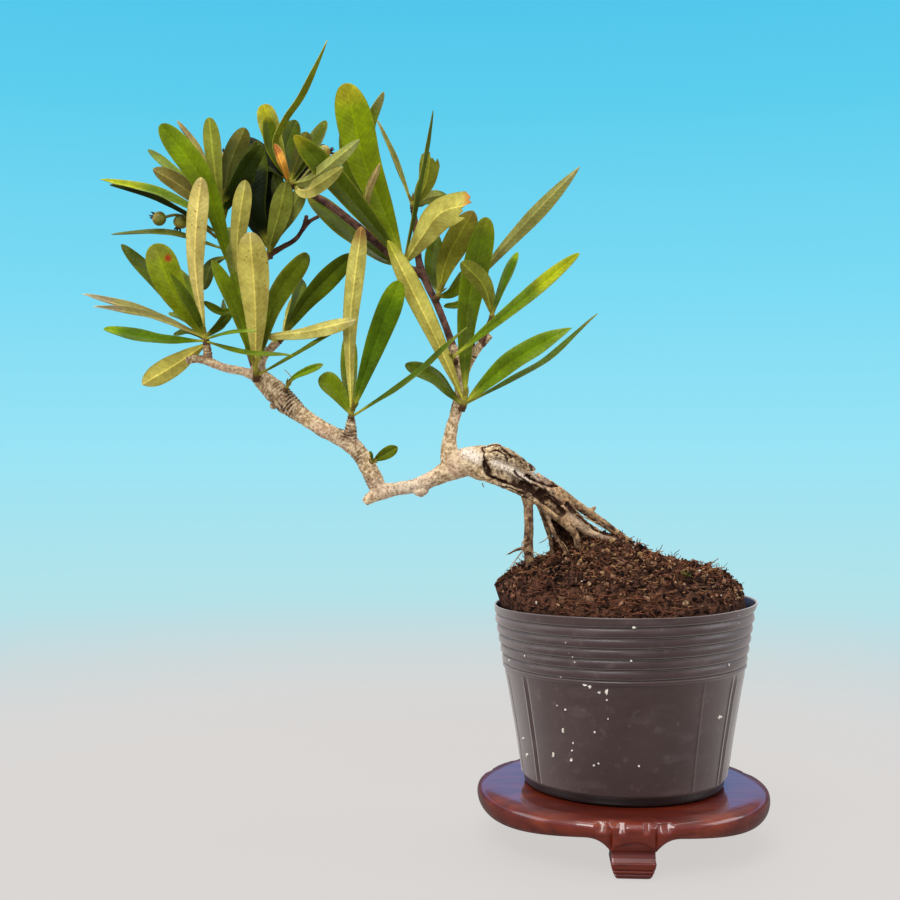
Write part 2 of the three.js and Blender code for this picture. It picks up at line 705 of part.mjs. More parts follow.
// Leafy shoots. `shoot` is its stem, as a limb, starting over the end of the wood that bears
// it. Each leaf is [share along the stem, places after its root, width, turn, blunt].
const SHOOTS = {
  leaves_tip: {
    shoot: [
      [-117, 138.9, 3.1, 3.4],
      [-117.3, 140.6, 2.7, 3],
      [-117.5, 142.2, 2.4, 1.6],
    ],
    leaves: [
      [0.5, [[-126.5, 154, -2], [-132, 167.4, -6]], 9.2, 12, true],
      [0.8, [[-121.4, 149.5, -3], [-127.3, 159.2, -7]], 3.4, 35],
      [0.8, [[-120.1, 160, 0], [-119.9, 173, -2], [-118.5, 186.3, -4]], 6, 172],
      [0.6, [[-134, 147.8, 5], [-152, 153.3, 8]], 4.8, 140],
      [0.7, [[-133, 147, -1], [-149, 149.8, -3]], 4.4, 128],
      [0.3, [[-131, 140.4, -7], [-146.2, 143.3, -13]], 4.8, 50],
      [0.1, [[-125.9, 133.2, 8], [-135.2, 127.6, 11]], 6.8, 170],
      [0.4, [[-130, 155, 7], [-141.2, 167.3, 9]], 4.8, 30],
      [0.4, [[-122, 142.5, 7], [-126.4, 141.8, 10]], 2.4, 40],
      [0.3, [[-106, 136.5, -9], [-92.5, 135.9, -12]], 2.8, -60],
      [0.5, [[-110, 142.3, -7], [-103, 142.8, -10]], 1.8, -60],
      [0.7, [[-113, 145, 9], [-109.5, 149, 14]], 3, 20],
      [0.9, [[-122, 152, 13], [-127, 161, 24]], 6.4, 20],
      [0.6, [[-113, 146, 20], [-112, 151, 34]], 5.6, 60],
      [0.7, [[-121, 145, 17], [-127, 148, 31]], 6, 55],
    ],
  },
  leaves_front: {
    shoot: [
      [-102.9, 128.6, 1.9, 3.2],
      [-103, 130.6, 0.6, 3],
      [-103.2, 133, -0.6, 1.6],
    ],
    leaves: [
      [0.5, [[-103.2, 150, -4], [-104.7, 170.8, -6]], 8.8, 176, true],
      [0.7, [[-108.3, 148, -1], [-115.4, 162.8, -4]], 4.8, 25],
      [0.7, [[-106.8, 149, 3], [-109.6, 160, 4]], 4.6, 5],
      [0.8, [[-97.6, 151.6, 2], [-88.4, 164.8, 4]], 6.6, 20, true],
      [0.4, [[-93, 135.4, -3], [-79.4, 143.2, -4]], 2.8, -70],
    ],
  },
  leaves_stub: {
    shoot: [
      [-97.3, 139.2, 7.9, 3.6],
      [-95.9, 140.4, 8.2, 3],
      [-94.9, 141.8, 8.4, 1.6],
    ],
    leaves: [
      [0.6, [[-88.2, 151.8, 9], [-75.6, 164.6, 12]], 6.4, 20],
      [0.2, [[-99.2, 141, 3], [-89, 142.4, -2], [-74.6, 145.8, -10]], 4.6, 145],
      [0.9, [[-92, 150, 17], [-89.5, 157, 27]], 6, 40],
      [0.8, [[-93, 147, 20], [-93, 152, 32]], 5.6, 150],
    ],
  },
  leaves_rise: {
    shoot: [
      [-106, 149.5, 10.8, 3.9],
      [-107.5, 153, 10, 2],
      [-110, 160, 8.6, 1.8],
      [-112, 168, 7.6, 1.7],
      [-112.8, 175, 7, 1.6],
      [-113, 181, 6.8, 1.4],
    ],
    leaves: [
      [0.55, [[-128, 170.3, 6], [-144, 170.2, 3]], 4.6, 84],
      [0.75, [[-130, 181.4, 4], [-147, 185.8, 0]], 4.8, 55],
      [0.65, [[-130.5, 179.6, 3], [-144.4, 184.2, -4]], 4.8, 108],
      [0.8, [[-125, 184.3, 9], [-132.2, 188.6, 11]], 5.6, 160],
      [0.85, [[-125, 186.8, 14], [-133.6, 194.2, 18]], 3.6, 40],
      [0.35, [[-117.6, 184, 3], [-130, 201.4, 0]], 7.4, 10, true],
      [0.85, [[-118.6, 192.4, 13], [-125.3, 202.3, 15]], 2.8, 130],
      [0.75, [[-114.8, 190, 5], [-116.3, 203.3, 4]], 5, 168, true],
      [0.7, [[-110.8, 188, 9], [-106.2, 200.4, 9]], 6.2, 160],
      [0.2, [[-108.2, 168, 5], [-107.4, 176, 4], [-106, 185.5, 4]], 5.6, 170],
      [0.1, [[-109.4, 163.5, 7], [-108, 169.9, 6]], 4.8, 170, true],
      [0.5, [[-115.5, 161.5, 6], [-118, 154.4, 5]], 4, 165],
      [0.05, [[-112.5, 148, 6], [-118, 151, 4]], 2.8, 40],
      [0.9, [[-118, 188, 19], [-121, 193.5, 30]], 5.6, 30],
      [0.6, [[-115, 174, 18], [-119, 179, 32]], 6, 60],
      [0.4, [[-110, 166, 20], [-110, 172, 33]], 6, 20],
    ],
  },
  leaves_mid: {
    shoot: [
      [-99.3, 163.4, 12.6, 3.8],
      [-99.2, 165.6, 11.5, 2.4],
      [-99.2, 168, 10.6, 1.5],
    ],
    leaves: [
      [0.6, [[-103.3, 179, 9], [-102.6, 196.6, 11]], 7.4, 15],
      [0.3, [[-99.6, 166, 8], [-97.2, 176, 6], [-95.4, 187.5, 6]], 6.6, 170],
      [0.6, [[-96, 174, 11], [-91.4, 182.2, 9]], 4.4, 150],
      [0.6, [[-101, 172, 19], [-102, 176, 30]], 6, 40],
      [0.9, [[-98.6, 171, 20], [-98, 171, 33]], 6, 80],
    ],
  },
  leaves_crown: {
    shoot: [
      [-91.2, 183.3, 11.9, 3.4],
      [-92.6, 184.3, 12.1, 3.2],
      [-93.6, 185.6, 12.2, 1.8],
    ],
    leaves: [
      [0.7, [[-97.8, 193, 11], [-100, 203.8, 10]], 5.2, 30],
      [0.9, [[-98, 197, 15], [-100.8, 207, 17]], 6.2, 0, true],
      [0.6, [[-97.8, 195, 8], [-94.9, 202.6, 7], [-90.3, 209.6, 6], [-82.7, 225.2, 3]], 3, 50],
      [0.9, [[-94.6, 194, 16], [-91.6, 202.5, 19]], 6, 20],
      [0.8, [[-91, 192, 13], [-88.6, 199.2, 14]], 4.8, 160, true],
      [0.6, [[-88, 193, 17], [-83.2, 202.4, 22]], 4.8, -30],
      [0.3, [[-87, 183, 3], [-81, 187.4, -9.5], [-73.8, 197.2, -15]], 3.8, 150],
      [0.7, [[-99.5, 189.5, 17], [-107.4, 185.4, 22]], 5, 30],
      [0.9, [[-93, 192, 25], [-92, 197, 37]], 6, 30],
      [0.6, [[-89, 186, 24], [-86, 189, 36]], 5.6, 70],
      [0.5, [[-96, 185, 24], [-98, 187, 36]], 5.6, 100],
    ],
  },
  leaves_upper: {
    shoot: [
      [-60.8, 161, 6.9, 3.9],
      [-61, 161.8, 5.2, 3.2],
      [-61.6, 163.4, 3.4, 1.8],
    ],
    leaves: [
      [0.7, [[-66.4, 176, 1], [-72.1, 190, -2], [-75.6, 204, -5], [-77.8, 213, -7]], 10.4, 10, true],
      [0.7, [[-69.5, 188, 6], [-71.3, 200, 7], [-66.8, 210.6, 7]], 5, 40],
      [0.6, [[-76.8, 181, 2], [-92.2, 198.2, -3]], 7, 20],
      [0.2, [[-66, 161.8, 9], [-72.5, 166.4, 14], [-88, 180.6, 19]], 5, 30],
      [0.4, [[-57.6, 180, 1], [-52.7, 205.2, -3]], 4, 72],
      [0.4, [[-55.8, 169.5, -2], [-50.5, 176.2, -5], [-42.3, 179.2, -8]], 8, 165, true],
      [0.8, [[-73.2, 180, 9], [-79, 198.8, 11]], 4.6, 10],
      [0.9, [[-70.5, 175.5, -6], [-72.2, 180, -8], [-67.9, 190.2, -11]], 2.6, 140],
    ],
  },
  leaves_top: {
    shoot: [
      [-58.3, 176.6, 9.9, 3],
      [-58.6, 178.2, 10.1, 2.6],
      [-58.8, 179.8, 10.2, 1.4],
    ],
    leaves: [
      [0.5, [[-62.8, 189, 14], [-68.8, 202.9, 18]], 3.2, 120],
      [0.4, [[-54.8, 184, 9], [-52.4, 193.4, 8]], 7, 172, true],
      [0.6, [[-54, 180.5, 15], [-49.2, 181.5, 20]], 4.4, 160],
      [0.8, [[-56.5, 183, 20], [-54, 188.5, 31]], 5, 30],
      [0.5, [[-55, 180, 21], [-53, 182, 33]], 5.6, 80],
    ],
  },
  leaves_side: {
    shoot: [
      [-52.1, 151.6, 6.5, 3.6],
      [-51.3, 152.8, 5.2, 2.8],
      [-50.8, 154.4, 4.4, 1.6],
    ],
    leaves: [
      [0.6, [[-48.8, 163, 3], [-41.4, 176.8, 1]], 8, 165],
      [0.5, [[-53.2, 161, 10], [-51.6, 170, 12]], 4.8, 10],
      [0.3, [[-47.5, 153.8, 8], [-42.5, 160, 11]], 4.6, 20],
      [0.7, [[-51, 160, 17], [-50, 166, 28]], 5.6, 40],
    ],
  },
  leaves_whorl: {
    shoot: [
      [-44.8, 120.4, 0.4, 3.6],
      [-44, 122, -0.4, 3],
      [-43.6, 124.4, -0.8, 1.8],
    ],
    leaves: [
      [0.6, [[-52.2, 141, -4], [-65.6, 168.4, -7]], 6.4, 165],
      [0.6, [[-30.7, 132.4, -4], [-22, 138, -6], [-13.5, 143.7, -8]], 6.6, -25],
      [0.5, [[-23.5, 133.6, 4], [-6.3, 147.8, 8]], 4, -80],
      [0.8, [[-43.2, 147, 2.4], [-37.6, 175, 2]], 7.8, 10, true],
      [0.4, [[-48.2, 125.2, 0.6], [-52.5, 129.6, 4], [-60.7, 133.3, 7]], 4.8, 20],
    ],
  },
  leaves_fork: {
    shoot: [
      [-46.5, 133.8, 2.6, 3.2],
      [-47.5, 134.6, 0.4, 2.6],
      [-47.6, 135.6, -2.4, 1.6],
    ],
    leaves: [
      [0.7, [[-31.2, 148.2, -6], [-11.3, 164.8, -10]], 5.2, -32],
    ],
  },
  leaves_right: {
    shoot: [
      [-36.4, 145.4, 0.6, 3],
      [-36.1, 147, -0.2, 2.6],
      [-36.2, 148.6, -0.8, 1.4],
    ],
    leaves: [
      [0.5, [[-33, 155.5, 2], [-28.8, 165.1, 4]], 3.4, -30],
      [0.6, [[-38.4, 155.5, -5], [-44.8, 162.4, -8]], 5.6, 165],
      [0.5, [[-36.5, 152, 12], [-36, 155, 22]], 5, 60],
    ],
  },
  leaves_back: {
    shoot: [
      [-40.7, 153.8, 11.7, 3],
      [-40.3, 156.4, 12.4, 2.6],
      [-39.6, 158.8, 12.8, 1.6],
    ],
    leaves: [
      [0.6, [[-34.5, 164.5, 10], [-25, 174.8, 8], [-11.1, 189.4, 4]], 5, 150],
      [0.1, [[-45.5, 150.2, 12], [-49.8, 149.7, 12]], 2.6, 40],
      [0.9, [[-41, 165, 18], [-42, 170, 29]], 6, 30],
      [0.5, [[-38, 160, 22], [-36, 162, 34]], 6, 80],
    ],
  },
  leaves_spur: {
    shoot: [
      [-76.1, 117.2, -3.4, 3.4],
      [-76, 118.8, -3.7, 3],
      [-75.8, 120.6, -4, 1.8],
    ],
    leaves: [
      [0.6, [[-76.4, 143, -5], [-75.2, 156, -6], [-73.1, 172.4, -6]], 6, 178],
      [0.6, [[-69.4, 138.4, -5], [-62.4, 157, -8]], 7.2, 8],
      [0.4, [[-59, 129.2, -8], [-43.2, 143.9, -12]], 3.8, -65],
      [0.5, [[-80, 125.5, -2], [-84.4, 130.4, -1]], 5.8, 5, true],
      [0.7, [[-76.8, 129, 8], [-76.6, 142, 20]], 5.4, 20],
      [0.6, [[-75, 123, 10], [-74, 127, 22]], 5, 80],
    ],
  },
  leaf_low: {
    shoot: [
      [-70.3, 105.8, -3.6, 2.6],
      [-69.6, 106, -5.2, 1.8],
    ],
    leaves: [
      [0.6, [[-67, 107.5, -7], [-62.9, 109.9, -9]], 3.4, 0],
      [0.4, [[-70.3, 107.2, -6], [-70.8, 108.6, -7]], 1.6, 60],
    ],
  },
  leaf_knuckle: {
    shoot: [
      [-94.6, 125.9, 0.6, 2.4],
      [-93.9, 127.6, -0.6, 1.4],
    ],
    leaves: [[0.7, [[-92.4, 129.4, -1.5], [-84, 133.3, -5]], 2.7, -20]],
  },
};

// A dry leaf that hangs on by its stalk in the crown.
const DRY_LEAF = {
  shoot: [
    [-93.4, 183.5, 10.1, 1.6],
    [-93.8, 184.8, 9.4, 1.2],
  ],
  leaves: [[0.8, [[-95.4, 189.5, 7], [-97.7, 195.6, 5]], 3.4, 155]],
};

function shootSolid({ shoot, leaves }) {
  const stem = curveThrough(shoot);
  const blades = leaves.map(([share, places, width, turn, blunt]) =>
    leaf(stem.getPoint(share), places, width, turn, blunt),
  );
  return joined([limb(shoot, SMALL_LIMB_SIDES), ...blades]);
}

// Fruits: unripe pomes on thin stalks, with the dry calyx at the end away from the stalk.
// Each has its place, where its calyx looks, and places along its stalk.
const FRUITS = {
  fruit_pair: [
    {
      place: [-130.4, 174.6, 6],
      looks: [-1, 0.2, 0.5],
      stalk: [[-125, 175.6, 8], [-118, 172.5, 9], [-114.2, 169.2, 9.2]],
    },
    {
      place: [-124.4, 173.6, 9],
      looks: [-0.4, 0.3, -0.9],
      stalk: [[-121.4, 173.4, 9.4], [-117, 171.4, 9.6], [-114.2, 169.2, 9.2]],
    },
  ],
  fruit_behind: [
    {
      place: [-111.6, 191.6, 14],
      looks: [0, 0, 1],
      stalk: [[-111.9, 187, 14.6], [-112.6, 180, 13.4], [-112.8, 174, 10.8], [-112.3, 171.6, 7.4]],
    },
  ],
  fruit_crown: [
    {
      place: [-83.6, 193.4, 12],
      looks: [0.9, 0.2, 0.2],
      stalk: [[-86.5, 190, 13], [-89.6, 186.4, 13.2], [-91, 184.9, 13.4]],
    },
  ],
};
const CALYX_RADIUS = 1;

function fruit({ place, looks, stalk }) {
  const middle = seen(...place);
  const facing = new THREE.Quaternion().setFromUnitVectors(
    new THREE.Vector3(0, 0, 1),
    new THREE.Vector3(...looks).normalize(),
  );
  const set = (geometry) => {
    geometry.applyQuaternion(facing);
    return solidOf(geometry.translate(middle.x, middle.y, middle.z));
  };
  const outline = [-90, -45, 0, 45, 90].map((angle) => {
    const turn = THREE.MathUtils.degToRad(angle);
    return new THREE.Vector2(FRUIT_RADIUS * Math.cos(turn), FRUIT_RADIUS * 0.9 * Math.sin(turn));
  });
  const flesh = new THREE.LatheGeometry(outline, 8).rotateX(Math.PI / 2);
  const calyx = new THREE.LatheGeometry(
    [
      new THREE.Vector2(0, FRUIT_RADIUS * 0.6),
      new THREE.Vector2(CALYX_RADIUS * 0.7, FRUIT_RADIUS * 0.6),
      new THREE.Vector2(CALYX_RADIUS, FRUIT_RADIUS * 0.9 + 0.9),
      new THREE.Vector2(0, FRUIT_RADIUS * 0.9 + 0.3),
    ],
    5,
  ).rotateX(Math.PI / 2);
  const stalkPlaces = [place, ...stalk].map((point) => [...point, STALK_WIDTH]);
  return joined([set(flesh), set(calyx), limb(stalkPlaces, 4)]);
}

// The finished pieces

const colours = {
  lacquer: [0x74260f, 0.25],
  plastic: [0x4e4240, 0.45],
  soil: [0x3b241a, 0.95],
  bark: [0xb39370, 0.85],
  leaf: [0x5f7a1c, 0.45],
  dry: [0xc7873c, 0.8],
  fruit: [0xa79a3c, 0.5],
};
const materials = {};
for (const [name, [color, roughness]] of Object.entries(colours)) {
  materials[name] = new THREE.MeshStandardMaterial({ color, roughness, metalness: 0 });
}

const group = new THREE.Group();

function addPiece(name, solid, material) {
  const mesh = new THREE.Mesh(geometryOf(solid), material);
  mesh.name = name;
  group.add(mesh);
}

const wood = woodSolids(0);
const woodWithGap = joined(woodSolids(GAP));
const rootsWithGap = ROOTS.map((places) => limb(places, SMALL_LIMB_SIDES, GAP));
const stemsWithGap = joined(
  Object.values(SHOOTS).map(({ shoot }) => limb(shoot, SMALL_LIMB_SIDES, GAP)),
);
const woodAndStemsWithGap = woodWithGap.add(stemsWithGap);

addPiece("stand", standSolid(), materials.lacquer);
addPiece("pot", potSolid(), materials.plastic);
addPiece("soil", soilSolid(rootsWithGap), materials.soil);
addPiece("trunk", joined(wood), materials.bark);
for (const [name, piece] of Object.entries(SHOOTS)) {
  addPiece(name, largest(shootSolid(piece).subtract(woodWithGap)), materials.leaf);
}
addPiece("dry_leaf", largest(shootSolid(DRY_LEAF).subtract(woodWithGap)), materials.dry);
for (const [name, fruits] of Object.entries(FRUITS)) {
  const spray = joined(fruits.map(fruit)).subtract(woodAndStemsWithGap);
  addPiece(name, largest(spray), materials.fruit);
}

// The part's origin is under the middle of its outline, on the surface it stands on.
const outline = new THREE.Box3().setFromObject(group);
const middle = outline.getCenter(new THREE.Vector3());
group.position.set(-middle.x, -middle.y, -outline.min.z);

export default group;
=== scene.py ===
"""A trained pyracantha in a plastic nursery pot, on a small lacquered wooden stand."""

import math

import bpy
import numpy as np
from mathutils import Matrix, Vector, noise
from mathutils.kdtree import KDTree


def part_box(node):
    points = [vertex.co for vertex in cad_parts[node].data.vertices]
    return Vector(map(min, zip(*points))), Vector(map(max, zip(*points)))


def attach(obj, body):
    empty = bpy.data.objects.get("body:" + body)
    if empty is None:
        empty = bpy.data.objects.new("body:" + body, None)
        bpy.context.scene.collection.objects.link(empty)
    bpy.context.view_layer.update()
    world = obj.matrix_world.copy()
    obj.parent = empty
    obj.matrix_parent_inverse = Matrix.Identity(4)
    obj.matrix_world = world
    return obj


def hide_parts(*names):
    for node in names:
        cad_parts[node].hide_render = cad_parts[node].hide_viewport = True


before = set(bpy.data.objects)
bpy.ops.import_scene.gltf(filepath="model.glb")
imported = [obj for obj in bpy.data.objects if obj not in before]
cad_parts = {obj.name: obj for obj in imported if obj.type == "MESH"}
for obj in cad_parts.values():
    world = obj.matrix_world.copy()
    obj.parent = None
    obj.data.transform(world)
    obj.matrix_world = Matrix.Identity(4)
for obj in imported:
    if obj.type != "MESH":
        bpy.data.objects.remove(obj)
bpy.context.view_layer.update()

# Camera. It stands where the photograph was taken from, 360 mm in front of the pot and 109 mm
# above the table, and looks level along +Y. Places on the tree are given as [x, z, depth] in mm:
# x and z where the camera sees them on the upright plane through the pot, and the depth behind it.
MM = 0.001
POT_X = 1.1
LENS = 50.8
SENSOR_WIDTH = 36
EYE_IN_LAYOUT = np.array((-48.0, -360.0, 109.0))
pot_low, pot_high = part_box("pot")
pot_middle = (pot_low + pot_high) / 2 / MM
LAYOUT = np.array((pot_middle.x - POT_X, pot_middle.y, 0))
EYE = LAYOUT + EYE_IN_LAYOUT


def seen(x, z, depth):
    """The place that the camera sees at x and z, at a depth behind the pot's upright plane."""
    target = LAYOUT + (x, 0, z)
    return EYE + (target - EYE) * (1 - depth / EYE_IN_LAYOUT[1])


def select(*pieces):
    """Selects these pieces only, with the last one active."""
    bpy.ops.object.select_all(action="DESELECT")
    for piece in pieces:
        piece.select_set(True)
        bpy.context.view_layer.objects.active = piece


select()
bpy.ops.object.camera_add(location=EYE * MM, rotation=(math.pi / 2, 0, 0))
camera = bpy.context.object
camera.data.lens = LENS
camera.data.sensor_width = SENSOR_WIDTH
bpy.context.scene.camera = camera

# Stand. One piece of fine-grained hardwood, turned to a round top with a full bullnose rim that
# hangs lower between the feet, and carved into three short scrolled feet. It is stained
# red-brown and finished in clear gloss lacquer.
STAND_AXIS = LAYOUT + (0.65, 0, 0)
STAND_RADIUS = 40.88
STAND_TOP = 15.2
STAND_UNDER = 11.0
APRON_DROP = 2.4
FOOT_TURN = -93.2
FOOT_COUNT = 3
FOOT_HALF = 5.75
FOOT_FLARE = 7
LIP_DROP = 3.5
LIP_ARCH = 2.3
STAND_SIDES = 480


def smooth_path(points, steps=24):
    """Points along a smooth curve through the given ones, `steps` from each to the next."""
    points = np.asarray(points, float)
    ends = [2 * points[0] - points[1], *points, 2 * points[-1] - points[-2]]
    share = np.arange(steps)[:, None] / steps
    path = []
    for before, here, after, beyond in zip(ends, ends[1:], ends[2:], ends[3:]):
        pairs = ((before, here), (here, after), (after, beyond))
        first, middle, last = (max(np.sum((b - a) ** 2), 1e-9) ** 0.25 for a, b in pairs)
        leave = (here - before) / first - (after - before) / (first + middle)
        leave = (leave + (after - here) / middle) * middle
        arrive = (after - here) / middle - (beyond - here) / (middle + last)
        arrive = (arrive + (beyond - after) / last) * middle
        bend = 3 * (after - here) - 2 * leave - arrive
        turn = 2 * (here - after) + leave + arrive
        path.append(here + leave * share + bend * share**2 + turn * share**3)
    return np.concatenate([*path, points[-1:]])


def evenly(path, count):
    """`count` points an equal distance apart along a path."""
    length = np.concatenate([[0], np.cumsum(np.linalg.norm(np.diff(path, axis=0), axis=1))])
    places = np.linspace(0, length[-1], count)
    return np.stack([np.interp(places, length, path[:, axis]) for axis in range(path.shape[1])], 1)


def vertices(piece):
    """The piece's vertices in mm, as an array."""
    flat = np.empty(len(piece.data.vertices) * 3)
    piece.data.vertices.foreach_get("co", flat)
    return flat.reshape(-1, 3) / MM


def set_vertices(piece, places):
    piece.data.vertices.foreach_set("co", (places * MM).ravel())
    piece.data.update()


def turned(name, profile, sides):
    """A closed round piece on the Z axis, from pairs of radius and height in mm. Its vertices
    come ring after ring, `sides` to a ring."""
    select()
    radius, height = profile[0]
    bpy.ops.mesh.primitive_circle_add(
        vertices=sides, radius=radius * MM, fill_type="NGON", location=(0, 0, height * MM)
    )
    piece = bpy.context.object
    piece.name = name
    bpy.ops.object.transform_apply(location=True)
    bpy.ops.object.mode_set(mode="EDIT")
    bpy.ops.mesh.select_all(action="SELECT")
    for (radius, height), (wider, higher) in zip(profile, profile[1:]):
        rise = (0, 0, (higher - height) * MM)
        bpy.ops.mesh.extrude_region_move(TRANSFORM_OT_translate={"value": rise})
        grow = (wider / radius, wider / radius, 1)
        bpy.ops.transform.resize(value=grow, center_override=(0, 0, higher * MM))
    bpy.ops.mesh.select_all(action="SELECT")
    bpy.ops.mesh.normals_make_consistent(inside=False)
    bpy.ops.object.mode_set(mode="OBJECT")
    return piece


def finish_piece(piece, material, slot, *nodes, smooth=True):
    """Gives a piece its material, and lets it ride on the part in place of its CAD nodes."""
    piece.data.materials.clear()
    piece.data.materials.append(material)
    if smooth:
        select(piece)
        bpy.ops.object.shade_smooth_by_angle(angle=math.radians(50))
    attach(piece, "root")
    if nodes:
        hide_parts(*nodes)


def smoothstep(low, high, value):
    """Goes from 0 to 1 while a value goes from low to high, or the other way round."""
    share = np.clip((value - low) / (high - low), 0, 1)
    return share * share * (3 - 2 * share)


# The top's section: distances in from the rim, heights, and the share of the apron's drop at each
top_section = [
    (40.5, STAND_UNDER, 0),
    (9, STAND_UNDER, 0),
    (5.5, STAND_UNDER - 0.2, 0.6),
    (3, STAND_UNDER - 0.4, 1),
    (1.3, STAND_UNDER, 1),
    (0.3, STAND_UNDER + 1, 0.8),
    (0, STAND_UNDER + 1.9, 0.4),
    (0.25, STAND_TOP - 1.4, 0.1),
    (1, STAND_TOP - 0.75, 0),
    (2.3, STAND_TOP - 0.28, 0),
    (4, STAND_TOP - 0.06, 0),
    (6, STAND_TOP, 0),
    (40.5, STAND_TOP, 0),
]
top_section = smooth_path(top_section, 5)
stand = turned("stand_lacquered", [(STAND_RADIUS - i, z) for i, z, _ in top_section], STAND_SIDES)
rings = vertices(stand).reshape(len(top_section), STAND_SIDES, 3)


def gather_sides(rings, angles, closer, reach):
    """Moves the sides of a turned piece's rings closer together round some angles."""
    turns = np.linspace(-math.pi, math.pi, 20001)
    crowding = np.ones(len(turns))
    for angle in angles:
        off = (turns - angle + math.pi) % (2 * math.pi) - math.pi
        crowding += closer * np.exp(-((off / reach) ** 4))
    crowding = np.cumsum(crowding)
    sides = np.linspace(crowding[0], crowding[-1], rings.shape[1], endpoint=False)
    angle = np.interp(sides, crowding, turns)[None, :] * np.ones((len(rings), 1))
    radius = np.hypot(rings[..., 0], rings[..., 1])
    rings[..., 0], rings[..., 1] = radius * np.cos(angle), radius * np.sin(angle)
    return angle


FOOT_ANGLES = [math.radians(FOOT_TURN + 360 * foot / FOOT_COUNT) for foot in range(FOOT_COUNT)]
angle = gather_sides(rings, FOOT_ANGLES, closer=4, reach=0.2)
from_foot = angle - FOOT_ANGLES[0]
rings[..., 2] -= top_section[:, 2:] * APRON_DROP * (1 - np.cos(FOOT_COUNT * from_foot)) / 2
# The rim reaches down over each foot in an arched lip, and sweeps into it from both sides.
foot_share = math.pi / FOOT_COUNT
nearest_foot = (from_foot + foot_share) % (2 * foot_share) - foot_share
across = np.hypot(rings[..., 0], rings[..., 1]) * np.sin(nearest_foot)
beyond = np.clip((np.abs(across) - FOOT_HALF) / FOOT_FLARE, 0, 1)
arch = LIP_DROP - LIP_ARCH * (1 - np.clip(np.abs(across) / FOOT_HALF, 0, 1) ** 2.2)
drop = np.where(np.abs(across) < FOOT_HALF, arch, LIP_DROP * (1 - beyond) ** 2.6)
lower = smoothstep(STAND_UNDER + 2.6, STAND_UNDER + 0.2, top_section[:, 1])
lower *= smoothstep(9, 5, top_section[:, 0])
rings[..., 2] -= lower[:, None] * drop


# Depth and width of each cut of the carving: a facet and a scoop outside the foot, and a step, a
# bevel and a dip on the knee
FACET_DEPTH, FACET_WIDTH = 1.0, 1.2
SCOOP_DEPTH, SCOOP_WIDTH = 1.1, 5.5
STEP_DEPTH, STEP_WIDTH = 0.7, 0.25
BEVEL_DEPTH, BEVEL_WIDTH, BEVEL_WIDENING = 1.1, 1.3, 1.4
DIP_DEPTH, DIP_WIDTH = 0.35, 2.2


def knee_carving(across, height):
    """How deep the rim is cut beside and over a foot, at a distance across the foot: it is
    scooped wide outside the foot, and the knee stands out of the scoop with bevelled sides."""
    outside = np.abs(across) - FOOT_HALF
    low = smoothstep(STAND_TOP, STAND_UNDER - 2, height)
    bevel_width = BEVEL_WIDTH + BEVEL_WIDENING * low
    facet = FACET_DEPTH * np.clip(1 - outside / FACET_WIDTH, 0, 1)
    scoop = SCOOP_DEPTH * np.clip(1 - outside / SCOOP_WIDTH, 0, 1) ** 2
    step = STEP_DEPTH * np.clip(1 + outside / STEP_WIDTH, 0, 1)
    bevel = BEVEL_DEPTH * np.clip(1 + (outside + STEP_WIDTH) / bevel_width, 0, 1)
    dip = DIP_DEPTH * np.exp(-((across / DIP_WIDTH) ** 2)) * smoothstep(0.2, 0.5, low)
    return np.where(outside > 0, facet + scoop, step + bevel) * (0.4 + 0.6 * low) + dip


# Beside the knee, and twice on it, the rim's upper edge is pared to a sloping flat.
PARED_FROM, PARED_SLOPE = 3.2, 0.65
reach = np.hypot(rings[..., 0], rings[..., 1])
side = np.abs(across)
pared = smoothstep(0.1, 0.6, side - FOOT_HALF) * smoothstep(4.4, 3, side - FOOT_HALF)
pared += smoothstep(1.9, 2.5, side) * smoothstep(4.4, 3.8, side)
flat = STAND_RADIUS - PARED_SLOPE * (rings[..., 2] - STAND_TOP + PARED_FROM)
rings[..., :2] *= (1 - pared * np.clip(reach - flat, 0, 2) / np.maximum(reach, 1))[..., None]
# The carving goes straight into the surface, and runs out on the top 4 mm inside the rim.
cut = knee_carving(across, rings[..., 2])
cut *= smoothstep(STAND_RADIUS - 3.6, STAND_RADIUS - 0.6, reach)
section_turn = np.gradient(top_section[:, :2], axis=0)
section_turn /= np.linalg.norm(section_turn, axis=1)[:, None]
outward, upward = np.abs(section_turn[:, 1:]), np.maximum(section_turn[:, :1], 0)
rings[..., :2] *= (1 - cut * outward / reach)[..., None]
rings[..., 2] -= cut * upward * 0.9
set_vertices(stand, rings.reshape(-1, 3))

# The foot's own front and back, under the knee: distances from the stand's axis at heights above
# the sole, and half its width. The shin is hollow, with a crease, and the toe is a scroll with
# three flutes.
SHIN = [
    (0, 37.3), (0.25, 37.9), (0.9, 38.5), (1.2, 38.65), (1.45, 38.3), (1.8, 38.75), (2.2, 38.85),
    (2.5, 38.5), (2.85, 38.95), (3.3, 39.1), (3.9, 39.25), (4.25, 39.3), (4.55, 38.9), (5.4, 38.2),
    (6.3, 37.8), (6.9, 37.7), (7.3, 38.2), (8.6, 38.9), (10, 38.9), (13.5, 38.2),
]
BACK = [(0, 30), (4, 31), (8.5, 30.2), (STAND_UNDER - 0.5, 28.3), (13.5, 28)]
HALF_WIDTHS = [
    (0, 3.9), (0.15, 4.3), (0.6, 4.6), (1.6, 5.1), (3, 5.55), (4.1, 5.75), (5, 5.65), (7.8, 5.62),
    (14, 5.6),
]
FOOT_TALL = 13.2
FOOT_ROWS, FOOT_COLUMNS = 160, 120
SIDE_SHARE = 0.28
CORNER_RADIUS = 0.5
select()
bpy.ops.mesh.primitive_grid_add(
    x_subdivisions=FOOT_COLUMNS, y_subdivisions=FOOT_ROWS, size=2, rotation=(math.pi / 2, 0, 0)
)
foot = bpy.context.object
